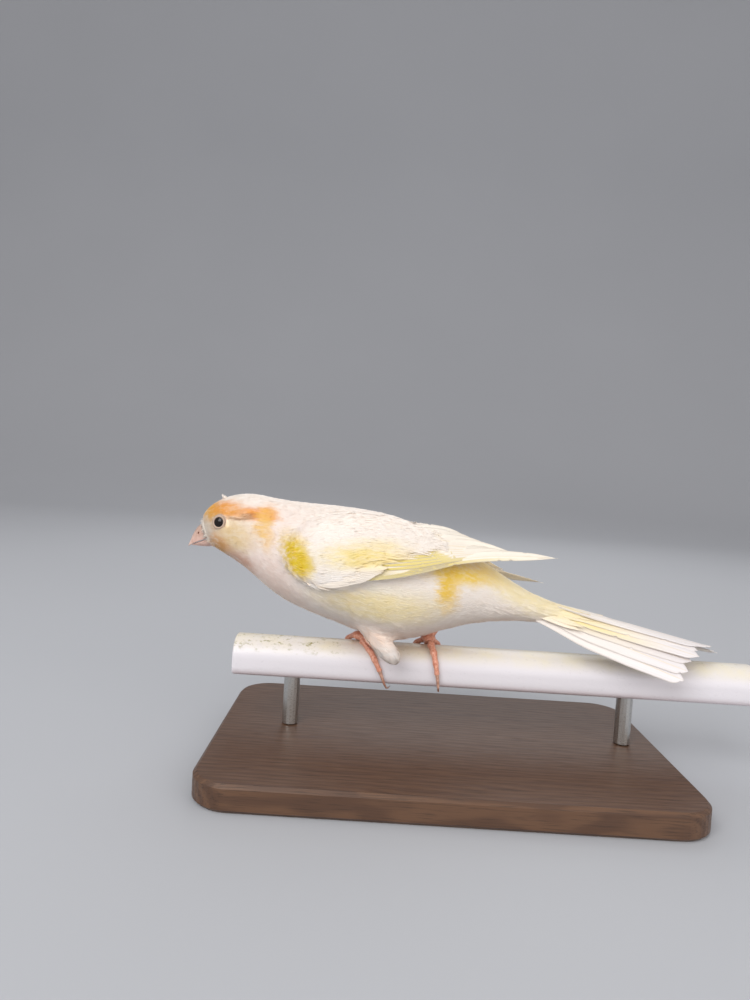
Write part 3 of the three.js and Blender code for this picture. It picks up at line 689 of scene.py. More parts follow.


# Colours of the plumage, and painted shade on the lower belly, the breast, under the tail and behind
# the eye: name, middle (x, distance from the middle line, height over the perch), reach each way,
# lean in degrees, screen colour and strength. Later ones lie over earlier ones.
MARKINGS_AND_SHADE = [
    ("warm belly shade", (-16, 0, -1), (34, 19, 9), 0, (250, 214, 190), 0.8),
    ("pink neck", (-44, 8, 22), (11, 9, 14), 20, (250, 230, 222), 0.65),
    ("pink back", (-24, 6, 33), (20, 12, 5), 4, (254, 242, 232), 0.3),
    ("breast shade", (-42, 0, 13), (12, 14, 7), 35, (250, 222, 206), 0.6),
    ("cream belly streak", (-17, 14, 12.5), (15, 8, 4.5), 4, (250, 232, 168), 0.8),
    ("white belly streak", (-19, 14, 17), (13, 8, 2), 6, (252, 246, 234), 0.6),
    ("covert yellow", (-21, 14, 23.6), (10.5, 8, 3.6), -3, (250, 226, 124), 0.95),
    ("wing bend yellow", (-37.4, 14, 23.2), (5.2, 9, 3.2), 50, (240, 208, 60), 1.0),
    ("wing bend yellow low", (-35.6, 14, 20.4), (3.6, 9, 3.0), 30, (236, 204, 52), 1.0),
    ("white wing edge", (-27, 16, 17.6), (12, 8, 2.2), -8, (252, 246, 240), 0.8),
    ("flank yellow", (1, 10, 20.2), (10, 9, 2.6), 8, (250, 214, 84), 0.95),
    ("flank yellow drop", (-2.0, 10, 16.8), (2.8, 9, 5.0), 0, (250, 208, 62), 0.95),
    ("rump yellow", (9, 4, 20.6), (6, 9, 3), 24, (252, 216, 100), 0.7),
    ("tail root yellow", (17, 3, 15.5), (12, 7, 4), 20, (252, 238, 178), 0.7),
    ("tail covert cream", (31, 2, 11), (9, 7, 4), 17, (250, 238, 190), 0.8),
    ("under tail shade", (12, 2, 7.4), (12, 7, 2.2), 0, (236, 210, 188), 0.5),
    ("white thigh", (-14.5, 9.4, -0.6), (5.5, 5, 3.6), 0, (252, 247, 242), 1.0),
    ("ear orange", (-47.4, 8, 30.8), (5.0, 6, 1.6), 4, (244, 158, 66), 0.95),
    ("ear orange spot", (-45.0, 8, 31.0), (2.6, 6, 2.6), 0, (245, 176, 74), 0.9),
    ("ear orange band", (-45.4, 9, 27.4), (2.2, 6, 5.0), -14, (248, 204, 120), 0.85),
    ("cheek", (-52.6, 9, 25.6), (5.4, 6, 4.6), 20, (238, 208, 140), 0.75),
    ("forehead orange", (-59.2, 3.6, 30.8), (5.0, 6.5, 2.8), 50, (236, 176, 62), 1.0),
    ("brow orange", (-55.0, 5.6, 31.8), (5.4, 5, 2.2), 4, (244, 166, 62), 0.95),
    ("lore", (-60.2, 4, 26.4), (2.8, 4.5, 3.4), 20, (222, 210, 194), 0.8),
    ("chin orange", (-56.0, 3, 23.0), (3.6, 6, 2.8), 40, (232, 168, 80), 0.95),
    ("throat brown", (-50.4, 3, 19.6), (4.6, 7, 2.2), 34, (222, 170, 140), 0.85),
    # Painted shade in the gap between the feathers behind the eye.
    ("painted shade behind the eye", (-51.8, 8, 30.0), (4.0, 3.4, 0.5), -6, (146, 98, 58), 0.7),
    ("eye rim dark", (-57.2, 8, 28.6), (2.4, 3.4, 2.2), 0, (190, 168, 142), 0.6),
]
PLUMAGE_BASE = (255, 247, 238)


def markings_and_shade_group():
    """The plumage's colour by place on the bird, with its painted shade: one group, shared by skin, coat and
    vanes.
    """
    made = bpy.data.node_groups.get("Plumage markings and painted shade")
    if made:
        return made
    tree, n, end = new_group("Plumage markings and painted shade", [("Color", "Color")])
    place = n.place()
    stretched = n.vector("MULTIPLY", place, (0.35, 1.0, 1.0))
    ragged = n.noise(stretched, 0.4, 2.0, 0.5)["Color"]
    shift = n.vector("SCALE", n.vector("SUBTRACT", ragged, (0.5, 0.5, 0.5)), 2.6)
    streaks = n.noise(n.vector("MULTIPLY", place, (0.3, 1.2, 1.2)), 1.0, 3.0, 0.65)
    comb = n.vector("MULTIPLY", n.vector("SUBTRACT", streaks["Color"], (0.5, 0.5, 0.5)), (4.4, 1.0, 1.2))
    between = n.span(streaks["Fac"], 0.36, 0.56, 0.72, 1.0)
    parts = n.parts(n.vector("ADD", n.vector("ADD", place, shift), comb))
    both = n.add("CombineXYZ")
    n.link(parts["X"], both.inputs["X"])
    n.link(n.math("ABSOLUTE", parts["Y"]), both.inputs["Y"])
    n.link(n.math("SUBTRACT", parts["Z"], PERCH_TOP), both.inputs["Z"])
    colour = linear(*PLUMAGE_BASE)
    for label, middle, reach, lean, tint, strength in MARKINGS_AND_SHADE:
        offset = n.vector("SUBTRACT", both.outputs[0], middle)
        if lean:
            turn = n.add("VectorRotate", rotation_type="Y_AXIS")
            n.link(offset, turn.inputs["Vector"])
            turn.inputs["Angle"].default_value = math.radians(-lean)
            offset = turn.outputs[0]
        away = n.vector("LENGTH", n.vector("DIVIDE", offset, reach), out=1)
        share = n.math("MULTIPLY", n.span(away, 1.45, 0.3, 0.0, strength), between)
        colour = n.blend(share, colour, linear(*tint))
        colour.node.label = label
    n.link(colour, end["Color"])
    return tree


def plumage_material(name, depth):
    """Soft feather over the markings. Depth is how far painted shade darkens a tuft at its root, where it lies
    under the next tufts.
    """
    material, n, shader = new_material(name)
    marks = n.add("Group", node_tree=markings_and_shade_group())
    place = n.place()
    streaks = n.noise(n.vector("MULTIPLY", place, (0.3, 2.2, 2.2)), 1.0, 4.0, 0.65)["Fac"]
    streaked = n.span(streaks, 0.35, 0.75, 0.0, 0.16)
    colour = n.blend(streaked, marks.outputs["Color"], (0.88, 0.78, 0.68, 1), "MULTIPLY")
    if depth:
        tone = n.add("Attribute", attribute_name="tone").outputs["Fac"]
        along = n.parts(n.add("UVMap", uv_map="Lie").outputs[0])["Y"]
        # Painted shade at each tuft's root, where it lies under the next tufts.
        dark = n.math("MULTIPLY", n.math("SUBTRACT", 1.0, along), depth)
        colour = n.blend(dark, colour, (0.88, 0.76, 0.64, 1), "MULTIPLY")
        colour = n.blend(n.math("MULTIPLY", tone, 0.2), colour, (0.86, 0.76, 0.64, 1), "MULTIPLY")
        shader["Subsurface Weight"].default_value = 0.25
        shader["Subsurface Radius"].default_value = (1.0, 0.9, 0.8)
        shader["Subsurface Scale"].default_value = 0.6 * MM
    n.link(colour, shader["Base Color"])
    shader["Roughness"].default_value = 0.62
    shader["Specular IOR Level"].default_value = 0.25
    shader["Sheen Weight"].default_value = 0.25
    shader["Sheen Roughness"].default_value = 0.4
    return material


def flight_material(name, edge_colour, edge_from, edge_strength, own):
    """A smooth vane: cream white, a coloured outer edge, painted shade along both edges, barbs as fine
    slanting lines.
    """
    material, n, shader = new_material(name)
    lie = n.parts(n.add("UVMap", uv_map="Lie").outputs[0])
    across, along = lie["X"], lie["Y"]
    tone = n.add("Attribute", attribute_name="tone").outputs["Fac"]
    off = n.math("ABSOLUTE", n.math("SUBTRACT", across, 0.5))
    slant = n.math("SUBTRACT", n.math("MULTIPLY", along, 50.0), n.math("MULTIPLY", off, 5.0))
    barbs = n.math("SINE", n.math("MULTIPLY", slant, 24.0))
    edge = n.span(across, edge_from, edge_from + 0.07, 0.0, edge_strength)
    edge = n.math("MULTIPLY", edge, n.span(along, 0.92, 0.3))
    edge = n.math("MULTIPLY", edge, n.add("Attribute", attribute_name="edge").outputs["Fac"])
    edge = n.math("MULTIPLY", edge, n.span(across, 0.99, 0.93, 0.25, 1.0))
    colour = n.blend(edge, linear(*own), linear(*edge_colour))
    # Painted shade along both edges of the vane, where it meets the next feather.
    colour = n.blend(n.span(off, 0.4, 0.5, 0.0, 0.5), colour, (0.78, 0.72, 0.62, 1), "MULTIPLY")
    shaft = n.span(off, 0.05, 0.012, 0.0, 0.5)
    colour = n.blend(shaft, colour, linear(232, 214, 178))
    shade = n.span(along, 0.95, 0.0, 0.0, 0.25)
    soft = n.add("Attribute", attribute_name="soft").outputs["Fac"]
    marks = n.add("Group", node_tree=markings_and_shade_group())
    colour = n.blend(n.math("MAXIMUM", shade, soft), colour, marks.outputs["Color"])
    colour = n.blend(n.math("MULTIPLY", soft, 0.5), colour, (0.86, 0.8, 0.72, 1), "MULTIPLY")
    lines = n.span(barbs, 0.2, 1.0, 0.0, 0.16)
    colour = n.blend(lines, colour, (0.72, 0.66, 0.55, 1), "MULTIPLY")
    colour = n.blend(n.math("MULTIPLY", tone, 0.3), colour, (0.78, 0.74, 0.72, 1), "MULTIPLY")
    fibres = n.add("CombineXYZ")
    n.link(n.math("MULTIPLY", across, 9.0), fibres.inputs["X"])
    n.link(n.math("MULTIPLY", along, 1.6), fibres.inputs["Y"])
    n.link(n.math("MULTIPLY", tone, 37.0), fibres.inputs["Z"])
    streak = n.noise(fibres.outputs[0], 1.0, 4.0, 0.6)["Fac"]
    colour = n.blend(n.span(streak, 0.45, 0.75, 0.0, 0.3), colour, (0.72, 0.7, 0.7, 1), "MULTIPLY")
    n.link(colour, shader["Base Color"])
    n.bump(shader, barbs, 0.25, 0.05)
    shader["Roughness"].default_value = 0.45
    shader["Specular IOR Level"].default_value = 0.35
    shader["Sheen Weight"].default_value = 0.1
    return material


def horn_material(name, dark, pale, roughness, scale=0.9, scales=0.0):
    """Layered horn or skin with soft mottling. Scales gives it small plates."""
    material, n, shader = new_material(name)
    place = n.place()
    mottle = n.noise(place, scale, 5.0, 0.6)["Fac"]
    colour = n.blend(n.span(mottle, 0.3, 0.7), linear(*dark), linear(*pale))
    n.link(n.span(mottle, 0.3, 0.7, roughness - 0.06, roughness + 0.08), shader["Roughness"])
    height = n.noise(place, 7.0, 4.0, 0.6)["Fac"]
    if scales:
        plates = n.add("TexVoronoi", feature="DISTANCE_TO_EDGE")
        n.link(place, plates.inputs["Vector"])
        plates.inputs["Scale"].default_value = scales
        to_edge = plates.outputs["Distance"]
        height = n.math("ADD", n.math("MULTIPLY", height, 0.2), n.span(to_edge, 0.0, 0.16))
        colour = n.blend(n.span(to_edge, 0.12, 0.0, 0.0, 0.45), colour, linear(*dark), "MULTIPLY")
    n.link(colour, shader["Base Color"])
    n.bump(shader, height, 0.35, 0.08)
    return material


def bill_material():
    """Pinkish horn: tan along the ridge, pinker below, with fine streaks and a pale tip."""
    material, n, shader = new_material("Bill horn")
    place = n.place()
    parts = n.parts(place)
    streaks = n.noise(n.vector("MULTIPLY", place, (0.5, 1.6, 0.8)), 1.2, 4.0, 0.6)["Fac"]
    pink = linear(222, 186, 172)
    tan = linear(190, 162, 146)
    high = n.span(parts["Z"], PERCH_TOP + 22.0, PERCH_TOP + 27.0)
    colour = n.blend(high, pink, tan)
    colour = n.blend(n.span(streaks, 0.35, 0.75, 0.0, 0.5), colour, linear(176, 132, 112))
    tip = n.span(parts["X"], -63.6, -66.4, 0.0, 0.55)
    colour = n.blend(tip, colour, linear(226, 208, 190))
    n.link(colour, shader["Base Color"])
    n.link(n.span(streaks, 0.3, 0.7, 0.32, 0.5), shader["Roughness"])
    grain = n.noise(n.vector("MULTIPLY", place, (1.0, 5.0, 2.0)), 2.0, 4.0)["Fac"]
    n.bump(shader, grain, 0.3, 0.08)
    return material


def eye_material():
    """Near black with brown flecks, wet and glossy."""
    material, n, shader = new_material("Wet eye")
    place = n.place()
    fleck = n.noise(place, 3.0, 3.0)["Fac"]
    n.link(n.blend(fleck, linear(8, 6, 5), linear(26, 17, 13)), shader["Base Color"])
    shader["Roughness"].default_value = 0.08
    shader["Specular IOR Level"].default_value = 0.35
    return material


def lid_material():
    """Pale brown skin in fine folds."""
    material, n, shader = new_material("Lid skin")
    place = n.place()
    folds = n.noise(place, 4.0, 4.0, 0.6)["Fac"]
    n.link(n.blend(folds, linear(158, 130, 110), linear(210, 188, 168)), shader["Base Color"])
    shader["Roughness"].default_value = 0.55
    n.bump(shader, folds, 0.4, 0.08)
    return material


def perch_material():
    """Moulded white plastic: its top yellowed, partly soiled and partly a painted warm reflection of the bird,
    and spotted where birds have sat; painted shade along its lower part.
    """
    material, n, shader = new_material("Soiled white plastic with painted reflection")
    place = n.place()
    parts = n.parts(place)
    cloud = n.noise(place, 0.12, 4.0, 0.6)["Fac"]
    fine = n.noise(n.vector("MULTIPLY", place, (0.6, 1.0, 1.0)), 0.9, 5.0, 0.7)["Fac"]
    colour = linear(222, 219, 224)
    # The cream on the top is partly soiling and partly a painted warm reflection of the bird above it.
    top = n.span(parts["Z"], PERCH_TOP - 4.0, PERCH_TOP - 0.5)
    soil_and_reflection = n.math("MULTIPLY", top, n.span(cloud, 0.3, 0.7, 0.35, 0.9))
    colour = n.blend(soil_and_reflection, colour, linear(230, 222, 196))
    # Painted shade along the lower part of the perch.
    foot = n.span(parts["Z"], PERCH_TOP - 7.0, PERCH_TOP - PERCH["high"], 0.0, 0.5)
    colour = n.blend(foot, colour, linear(214, 190, 192))
    near_end = n.span(parts["X"], 8.0, -40.0)
    spots = n.math("MULTIPLY", n.span(fine, 0.54, 0.68), n.math("MULTIPLY", top, near_end))
    colour = n.blend(spots, colour, linear(150, 144, 84))
    n.link(colour, shader["Base Color"])
    dull = n.math("ADD", n.span(fine, 0.3, 0.7, 0.26, 0.4), n.math("MULTIPLY", spots, 0.3))
    n.link(dull, shader["Roughness"])
    n.bump(shader, n.math("ADD", fine, spots), 0.3, 0.15)
    return material


def wood_material():
    """Dark stained wood with grain and open pores."""
    material, n, shader = new_material("Stained wood")
    place = n.place()
    bend = n.noise(n.vector("MULTIPLY", place, (0.02, 0.1, 0.1)), 1.0, 3.0)["Fac"]
    lines = n.math("MULTIPLY", n.parts(place)["Y"], 3.4)
    rings = n.math("SINE", n.math("ADD", lines, n.math("MULTIPLY", bend, 30.0)))
    pores = n.noise(n.vector("MULTIPLY", place, (0.12, 3.0, 3.0)), 1.0, 4.0, 0.6)["Fac"]
    colour = n.blend(n.span(rings, -1.0, 1.0), linear(82, 57, 41), linear(98, 70, 50))
    colour = n.blend(n.span(pores, 0.5, 0.7, 0.0, 0.6), colour, linear(44, 30, 22))
    n.link(colour, shader["Base Color"])
    n.link(n.span(pores, 0.3, 0.7, 0.36, 0.52), shader["Roughness"])
    n.bump(shader, pores, 0.25, 0.1)
    return material


def steel_material():
    """Steel brushed along the rods."""
    material, n, shader = new_material("Brushed steel")
    place = n.place()
    brushed = n.noise(n.vector("MULTIPLY", place, (1.0, 1.0, 12.0)), 1.5, 4.0, 0.7)["Fac"]
    n.link(n.blend(brushed, linear(168, 168, 166), linear(214, 213, 210)), shader["Base Color"])
    n.link(n.span(brushed, 0.3, 0.7, 0.24, 0.42), shader["Roughness"])
    shader["Metallic"].default_value = 1.0
    return material


def floor_material():
    """A matt grey floor with soft clouds."""
    material, n, shader = new_material("Pale floor")
    place = n.add("TexCoord").outputs["Object"]
    cloud = n.noise(place, 3.0, 2.0)["Fac"]
    n.link(n.blend(cloud, linear(176, 179, 184), linear(182, 185, 190)), shader["Base Color"])
    shader["Roughness"].default_value = 0.85
    return material


# The skin and the places of its feathers


def build_skin():
    """One skin from the flesh nodes, drawn in by the depth of the coat."""
    flesh = [*FLESH, "eye_left", "eye_right"]
    skin = smoothed_copy("skin", flesh, SKIN["voxel"], SKIN["rounds"], [tail_root()])
    points, normals = points_of(skin), normals_of(skin)
    thigh = points[:, 2] < PERCH_TOP + belly_at(points[:, 0]) + 0.5
    body = mix(SKIN["face_depth"], SKIN["depth"], smooth(points[:, 0], -56, -40))
    depth = np.where(thigh, SKIN["thigh_depth"], body)
    set_points(skin, points - normals * depth[:, None])
    return skin


def tail_root():
    """The flesh that carries the tail, as a closed tube over the last rows of the body."""
    x = np.linspace(TAIL_ROOT["from"], TAIL_ROOT["to"], TAIL_ROOT["rings"])
    angle = np.linspace(0, 2 * math.pi, TAIL_ROOT["around"], endpoint=False)
    top, bottom = PERCH_TOP + back_at(x), PERCH_TOP + belly_at(x)
    level = mix(bottom, top, WIDEST_AT)
    up = np.where(np.sin(angle) > 0, (top - level)[:, None], (level - bottom)[:, None])
    y = half_at(x)[:, None] * np.cos(angle)
    z = level[:, None] + up * np.sin(angle)
    rings = np.stack([x[:, None] * np.ones(len(angle)), y, z], -1)
    return closed_tube(rings, rings[..., :2], rings[..., :2]).make("tail_root")


def core_sheet(side_name):
    """The flesh of a folded wing under its feathers."""
    wing = WINGS[side_name]
    surface = wing_surface(wing)
    rows, columns = 60, 26
    x = np.linspace(WING["front"] - 0.4, WING["core_end"] + 1, rows)[:, None] * np.ones(columns)
    across = np.ones(rows)[:, None] * np.linspace(0.0, 1.0, columns)
    across = mix(0.16 * smooth(x, -25, -19), 1.0, across)
    top = surface(x, across)
    out = wing_outward(surface, wing["side"], x, across)
    thick = mix(WING["plate"], 0.6, smooth(x, -22, WING["core_end"]))[..., None]
    rim = np.minimum(1, 6 * np.minimum(across, 1 - across) + 0.12)[..., None]
    into_back = smooth(across, 0.72, 1.0) * (1 - smooth(x, -14, -4))
    into_breast = 1 - smooth(x, WING["front"], WING["front"] + 5)
    sunk = 0.25 + 1.2 * np.maximum(into_back, 0.7 * into_breast)
    above = top - out * (sunk[..., None] + 0.3 * (1 - rim))
    below = above - np.array([0, wing["side"], 0]) * thick * rim
    points = np.concatenate([above.reshape(-1, 3), below.reshape(-1, 3)])
    faces = sheet_faces(rows, columns)
    if wing["side"] < 0:
        faces = faces[:, ::-1]
    lie = np.tile(np.stack([across.ravel(), (x.ravel() + 45) / 50], 1), (2, 1))
    return points, faces, lie


def blade(
    sheaf, middles, acrosses, outs, webs, cell, tone, camber=0.12, tilt=0.0, turned=False, edge=0.0, soft=0.0
):
    """One feather: a thin closed sheet, highest along its shaft. Cell is its place in the baked picture."""
    rows, columns = len(middles), VANE["columns"]
    inner, outer = webs
    w = np.linspace(-1, 1, columns)
    width = np.where(w < 0, inner[:, None], outer[:, None]) * w
    arch = -camber * (width**2) / max(float(np.max(outer)), 0.1) + tilt * w
    shaft = VANE["shaft"] * np.exp(-((w / VANE["shaft_half"]) ** 2)) * np.linspace(1, 0.3, rows)[:, None]
    face = 0.5 * VANE["thick"] * (1 - 0.6 * np.abs(w)) * np.linspace(1, 0.7, rows)[:, None]
    base = middles[:, None] + acrosses[:, None] * width[..., None]
    above = base + outs[:, None] * (arch + face + shaft)[..., None]
    below = base + outs[:, None] * (arch - face)[..., None]
    points = np.concatenate([above.reshape(-1, 3), below.reshape(-1, 3)])
    along = np.linspace(0, 1, rows)[:, None] * np.ones(columns)
    share = np.ones(rows)[:, None] * (w + 1) / 2
    lie = np.tile(np.stack([share.ravel(), along.ravel()], 1), (2, 1))
    left, low, wide, high = cell
    u = left + wide * (0.04 + 0.44 * share)
    v = low + high * (0.04 + 0.92 * along)
    bake = np.concatenate([np.stack([part.ravel(), v.ravel()], 1) for part in (u, u + wide * 0.48)])
    faces = sheet_faces(rows, columns)
    sheaf.add(points, faces[:, ::-1] if turned else faces, lie, bake, tone, edge, soft)


def cells(count):
    """Places for feathers in the baked picture: name them by number."""
    columns = math.ceil(math.sqrt(count))
    rows = math.ceil(count / columns)

    def at(i):
        return (i % columns / columns, i // columns / rows, 1 / columns, 1 / rows)

    return at


def vane_outline(rows, half, pointed, random, ragged):
    """Widths of the two webs along a feather."""
    s = np.linspace(0, 1, rows)
    body = mix(0.42, 1.0, smooth(s, 0, 0.4))
    end = np.sqrt(np.clip(1 - smooth(s, 1 - pointed, 1.0) ** 2, 0, 1)) * (1 - 0.2 * smooth(s, 0.6, 1))
    end[-1] = 0.1
    widths = []
    for web in VANE["webs"]:
        edge = 1 - 0.015 * random.random(rows)
        for _ in range(ragged):
            at = random.integers(rows // 3, rows - 2)
            edge[at] *= random.uniform(0.6, 0.85)
        widths.append(half * web * body * end * edge)
    return widths


def build_wing(side_name):
    """A folded wing: its core, and flight feathers and coverts over it."""
    wing = WINGS[side_name]
    side = wing["side"]
    surface = wing_surface(wing)
    random = np.random.default_rng(11 + side)
    sheaf = Sheaf()
    cell_at = cells(sum(row[1] for row in WING_ROWS) + 1)
    points, faces, lie = core_sheet(side_name)
    left, low, wide, high = cell_at(0)
    half = len(points) // 2
    bake = np.stack([left + wide * (0.04 + 0.44 * lie[:, 0]), low + high * (0.04 + 0.9 * lie[:, 1])], 1)
    bake[half:, 0] += wide * 0.48
    sheaf.add(points, faces, np.stack([lie[:, 0] * 0 + 0.3, lie[:, 1]], 1), bake, np.full(len(points), 0.5))
    number = 1
    for kind, count, root, tip, half, lift in WING_ROWS:
        long = kind in ("primary", "secondary")
        rows = 90 if long else 36
        for k in range(count):
            share = k / (count - 1)
            start = np.array([mix(root[0][i], root[1][i], share) for i in (0, 1)])
            stop = np.array([mix(tip[0][i], tip[1][i], share) for i in (0, 1)])
            stop[0] += 0.6 * (random.random() - 0.5)
            s = np.linspace(0, 1, rows)
            x, across = mix(start[0], stop[0], s), mix(start[1], stop[1], s ** (2.2 if long else 1.0))
            out = wing_outward(surface, side, x, across)
            rise = mix(-0.5, lift + 0.05 * k / count, smooth(s, 0, 0.45))
            rise = rise - 0.7 * smooth(across, 0.74, 0.95) * (1 - smooth(x, -6, 4))
            middles = surface(x, across) + out * rise[:, None]
            along = unit(np.gradient(middles, axis=0))
            acrosses = unit(np.cross(along, out)) * -side
            ragged = (9 if side > 0 else 3) if long else 1
            webs = vane_outline(rows, half, POINTED[kind], random, ragged)
            edge, soft = WING_TINTS[kind]
            blade(
                sheaf,
                middles,
                acrosses,
                out,
                webs,
                cell_at(number),
                random.random(),
                tilt=0.24 if long else 0.14,
                turned=side > 0,
                edge=edge * (RIGHT_WING_EDGE if side > 0 else 1.0),
                soft=soft,
            )
            number += 1
    return sheaf


def tail_point(spread, share):
    """A place in the tail: spread runs from -1 on the left to 1, share from root to tip."""
    side = "left" if spread < 0 else "right"
    fall = spread**2
    root = over((TAIL["root"][0], TAIL["root"][1] * spread, TAIL["root"][2] - TAIL["root_fall"][side] * fall))
    tip = over(
        (
            TAIL["tip"][0] + TAIL["tip_lean"] * spread,
            TAIL["tip"][1] + TAIL["tip_half"] * spread,
            TAIL["tip"][2] - TAIL["tip_fall"][side] * fall,
        )
    )
    return root + (tip - root) * np.asarray(share, float)[..., None]


def build_tail():
    """The fan of tail feathers with the coverts over and under its root."""
    random = np.random.default_rng(5)
    sheaf = Sheaf()
    cell_at = cells(sum(row[1] for row in TAIL_ROWS))
    number = 0
    for kind, count, spread_to, begin, end, half, lift in TAIL_ROWS:
        for k in range(count):
            spread = spread_to * (2 * k / (count - 1) - 1)
            reach = end - 0.05 * random.random()
            if kind != "fan":
                reach -= 0.1 * abs(spread) + 0.06 * random.random()
            rows = 90 if kind == "fan" else 30
            s = np.linspace(0, 1, rows)
            share = mix(begin, reach, s)
            spread += random.uniform(-0.04, 0.04)
            bow = random.uniform(-0.5, 0.5)
            middles = tail_point(spread, share)
            middles[:, 1] += bow * s**2
            middles[:, 2] += random.uniform(-0.2, 0.25) * s**2
            side_on = unit(tail_point(spread + 0.05, share) - tail_point(spread - 0.05, share))
            along = unit(np.gradient(middles, axis=0))
            out = unit(np.cross(along, side_on))
            out *= np.sign(out[:, 2:3])
            if kind == "fan":
                rise = np.full(rows, TAIL["stack"] * (0.5 - abs(spread)))
            else:
                rise = lift * smooth(s, 0, 0.4)
            middles = middles + out * rise[:, None]
            turn = -1 if spread < 0 else 1
            pointed = 0.1 if kind == "fan" else 0.5
            webs = vane_outline(rows, half, pointed, random, 1)
            yellow = max(0.1, 1 - 3.5 * abs(spread - TAIL["yellow_at"]))
            blade(
                sheaf,
                middles,
                side_on * turn,
                out,
                webs,
                cell_at(number),
                random.random(),
                camber=0.08,
                tilt=0.12,
                turned=turn > 0,
                edge=yellow if kind == "fan" else 0.3,
                soft=0.0 if kind == "fan" else 1.0,
            )
            number += 1
    return sheaf


def build_perch():
    """The moulded perch: flat-footed with a rounded top, its ends a little bevelled."""
    angle = np.linspace(0, 2 * math.pi, 128, endpoint=False)
    rise, reach = np.cos(angle), np.sin(angle)
    power = np.where(rise >= 0, PERCH["dome_power"], PERCH["foot_power"])
    height = np.where(rise >= 0, PERCH["dome"], PERCH["high"] - PERCH["dome"])
    away = ((np.abs(reach) / PERCH["half"]) ** power + (np.abs(rise) / height) ** power) ** (-1 / power)
    turn = np.linspace(0, math.pi / 2, 7)
    inset = PERCH["bevel"] * (1 - np.sin(turn))
    depth = PERCH["bevel"] * (1 - np.cos(turn))
    run = np.linspace(PERCH["left"] + 1, PERCH["right"] - 1, 120)
    x = np.concatenate([PERCH["left"] + depth, run, (PERCH["right"] - depth)[::-1]])
    taken = np.concatenate([inset, np.zeros(len(run)), inset[::-1]])
    out = away[None, :] - taken[:, None]
    y = PERCH["middle"] + out * reach
    z = PERCH_TOP - PERCH["dome"] + out * rise
    rings = np.stack([x[:, None] * np.ones(len(angle)), y, z], -1)
    lie = np.stack([np.broadcast_to(angle / (2 * math.pi), y.shape), rings[..., 0] / 150 + 0.4], -1)
    return closed_tube(rings, lie, lie)


# Tufts


def tuft_form(blades, random):
    """Points of a tuft by share along it, sideways and up, with its faces: a fan of narrow barbs."""
    stations = np.array([0.0, 0.42, 0.78])
    widths = np.array([0.9, 1.0, 0.6])
    points, faces, under = [], [], []
    for k in range(blades):
        place = 2 * (k + 0.5) / blades - 1
        long = 1 - 0.16 * place**2 - 0.34 * random.random()
        curl = 0.2 * (random.random() - 0.5)
        start = len(points)
        for s, w in zip(stations, widths):
            middle = place * mix(0.75, 1.0, s) + curl * s * s
            half = 1.3 * w / blades
            lift = random.uniform(-0.02, 0.02)
            ridge = lift + 0.5 * half
            points += [
                (s * long, middle - half, lift, -1),
                (s * long, middle + half, lift, 1),
                (s * long, middle, ridge, 0),
            ]
        points.append((long, place * 1.04 + curl, 0.0, 0))
        for ring in (0, 1):
            a = start + 3 * ring
            for i, j in ((0, 1), (1, 2), (2, 0)):
                faces += [(a + i, a + j, a + 3 + j), (a + i, a + 3 + j, a + 3 + i)]
                under += [i == 0, i == 0]
        last = start + 6
        tip = start + 9
        faces += [(last, last + 1, tip), (last + 1, last + 2, tip), (last + 2, last, tip)]
        faces.append((start, start + 2, start + 1))
        under += [True, False, False, True]
    return np.array(points), np.array(faces), np.array(under)


def crowded(place, apart, taken):
    """Whether a kept place is nearer than this. Taken lists the kept ones by the cube they are in."""
    cube = tuple(math.floor(v) for v in place)
    reach = math.ceil(apart)
    for step in itertools.product(range(-reach, reach + 1), repeat=3):
        for other in taken.get((cube[0] + step[0], cube[1] + step[1], cube[2] + step[2]), ()):
            if sum((a - b) ** 2 for a, b in zip(other, place)) < apart * apart:
                return True
    return False


def scatter(piece, size_at, seed, candidates):
    """Evenly spread places on a mesh, closer where the tufts are smaller."""
    random = np.random.default_rng(seed)
    points, normals, tri = points_of(piece), normals_of(piece), triangles_of(piece)
    a, b, c = (points[tri[:, i]] for i in range(3))
    area = 0.5 * np.linalg.norm(np.cross(b - a, c - a), axis=1)
    weight = area / size_at((a + b + c) / 3) ** 2
    chosen = random.choice(len(tri), candidates, p=weight / weight.sum())
    r = np.sqrt(random.random(candidates))[:, None]
    q = random.random(candidates)[:, None]
    shares = [1 - r, r * (1 - q), r * q]
    place = sum(s * p[chosen] for s, p in zip(shares, (a, b, c)))
    normal = unit(sum(s * normals[tri[chosen, i]] for i, s in enumerate(shares)))
    kept, taken = [], {}
    for i, (spot, apart) in enumerate(zip(place.tolist(), size_at(place).tolist())):
        if not crowded(spot, apart, taken):
            taken.setdefault(tuple(math.floor(v) for v in spot), []).append(spot)
            kept.append(i)
    return place[kept], normal[kept]


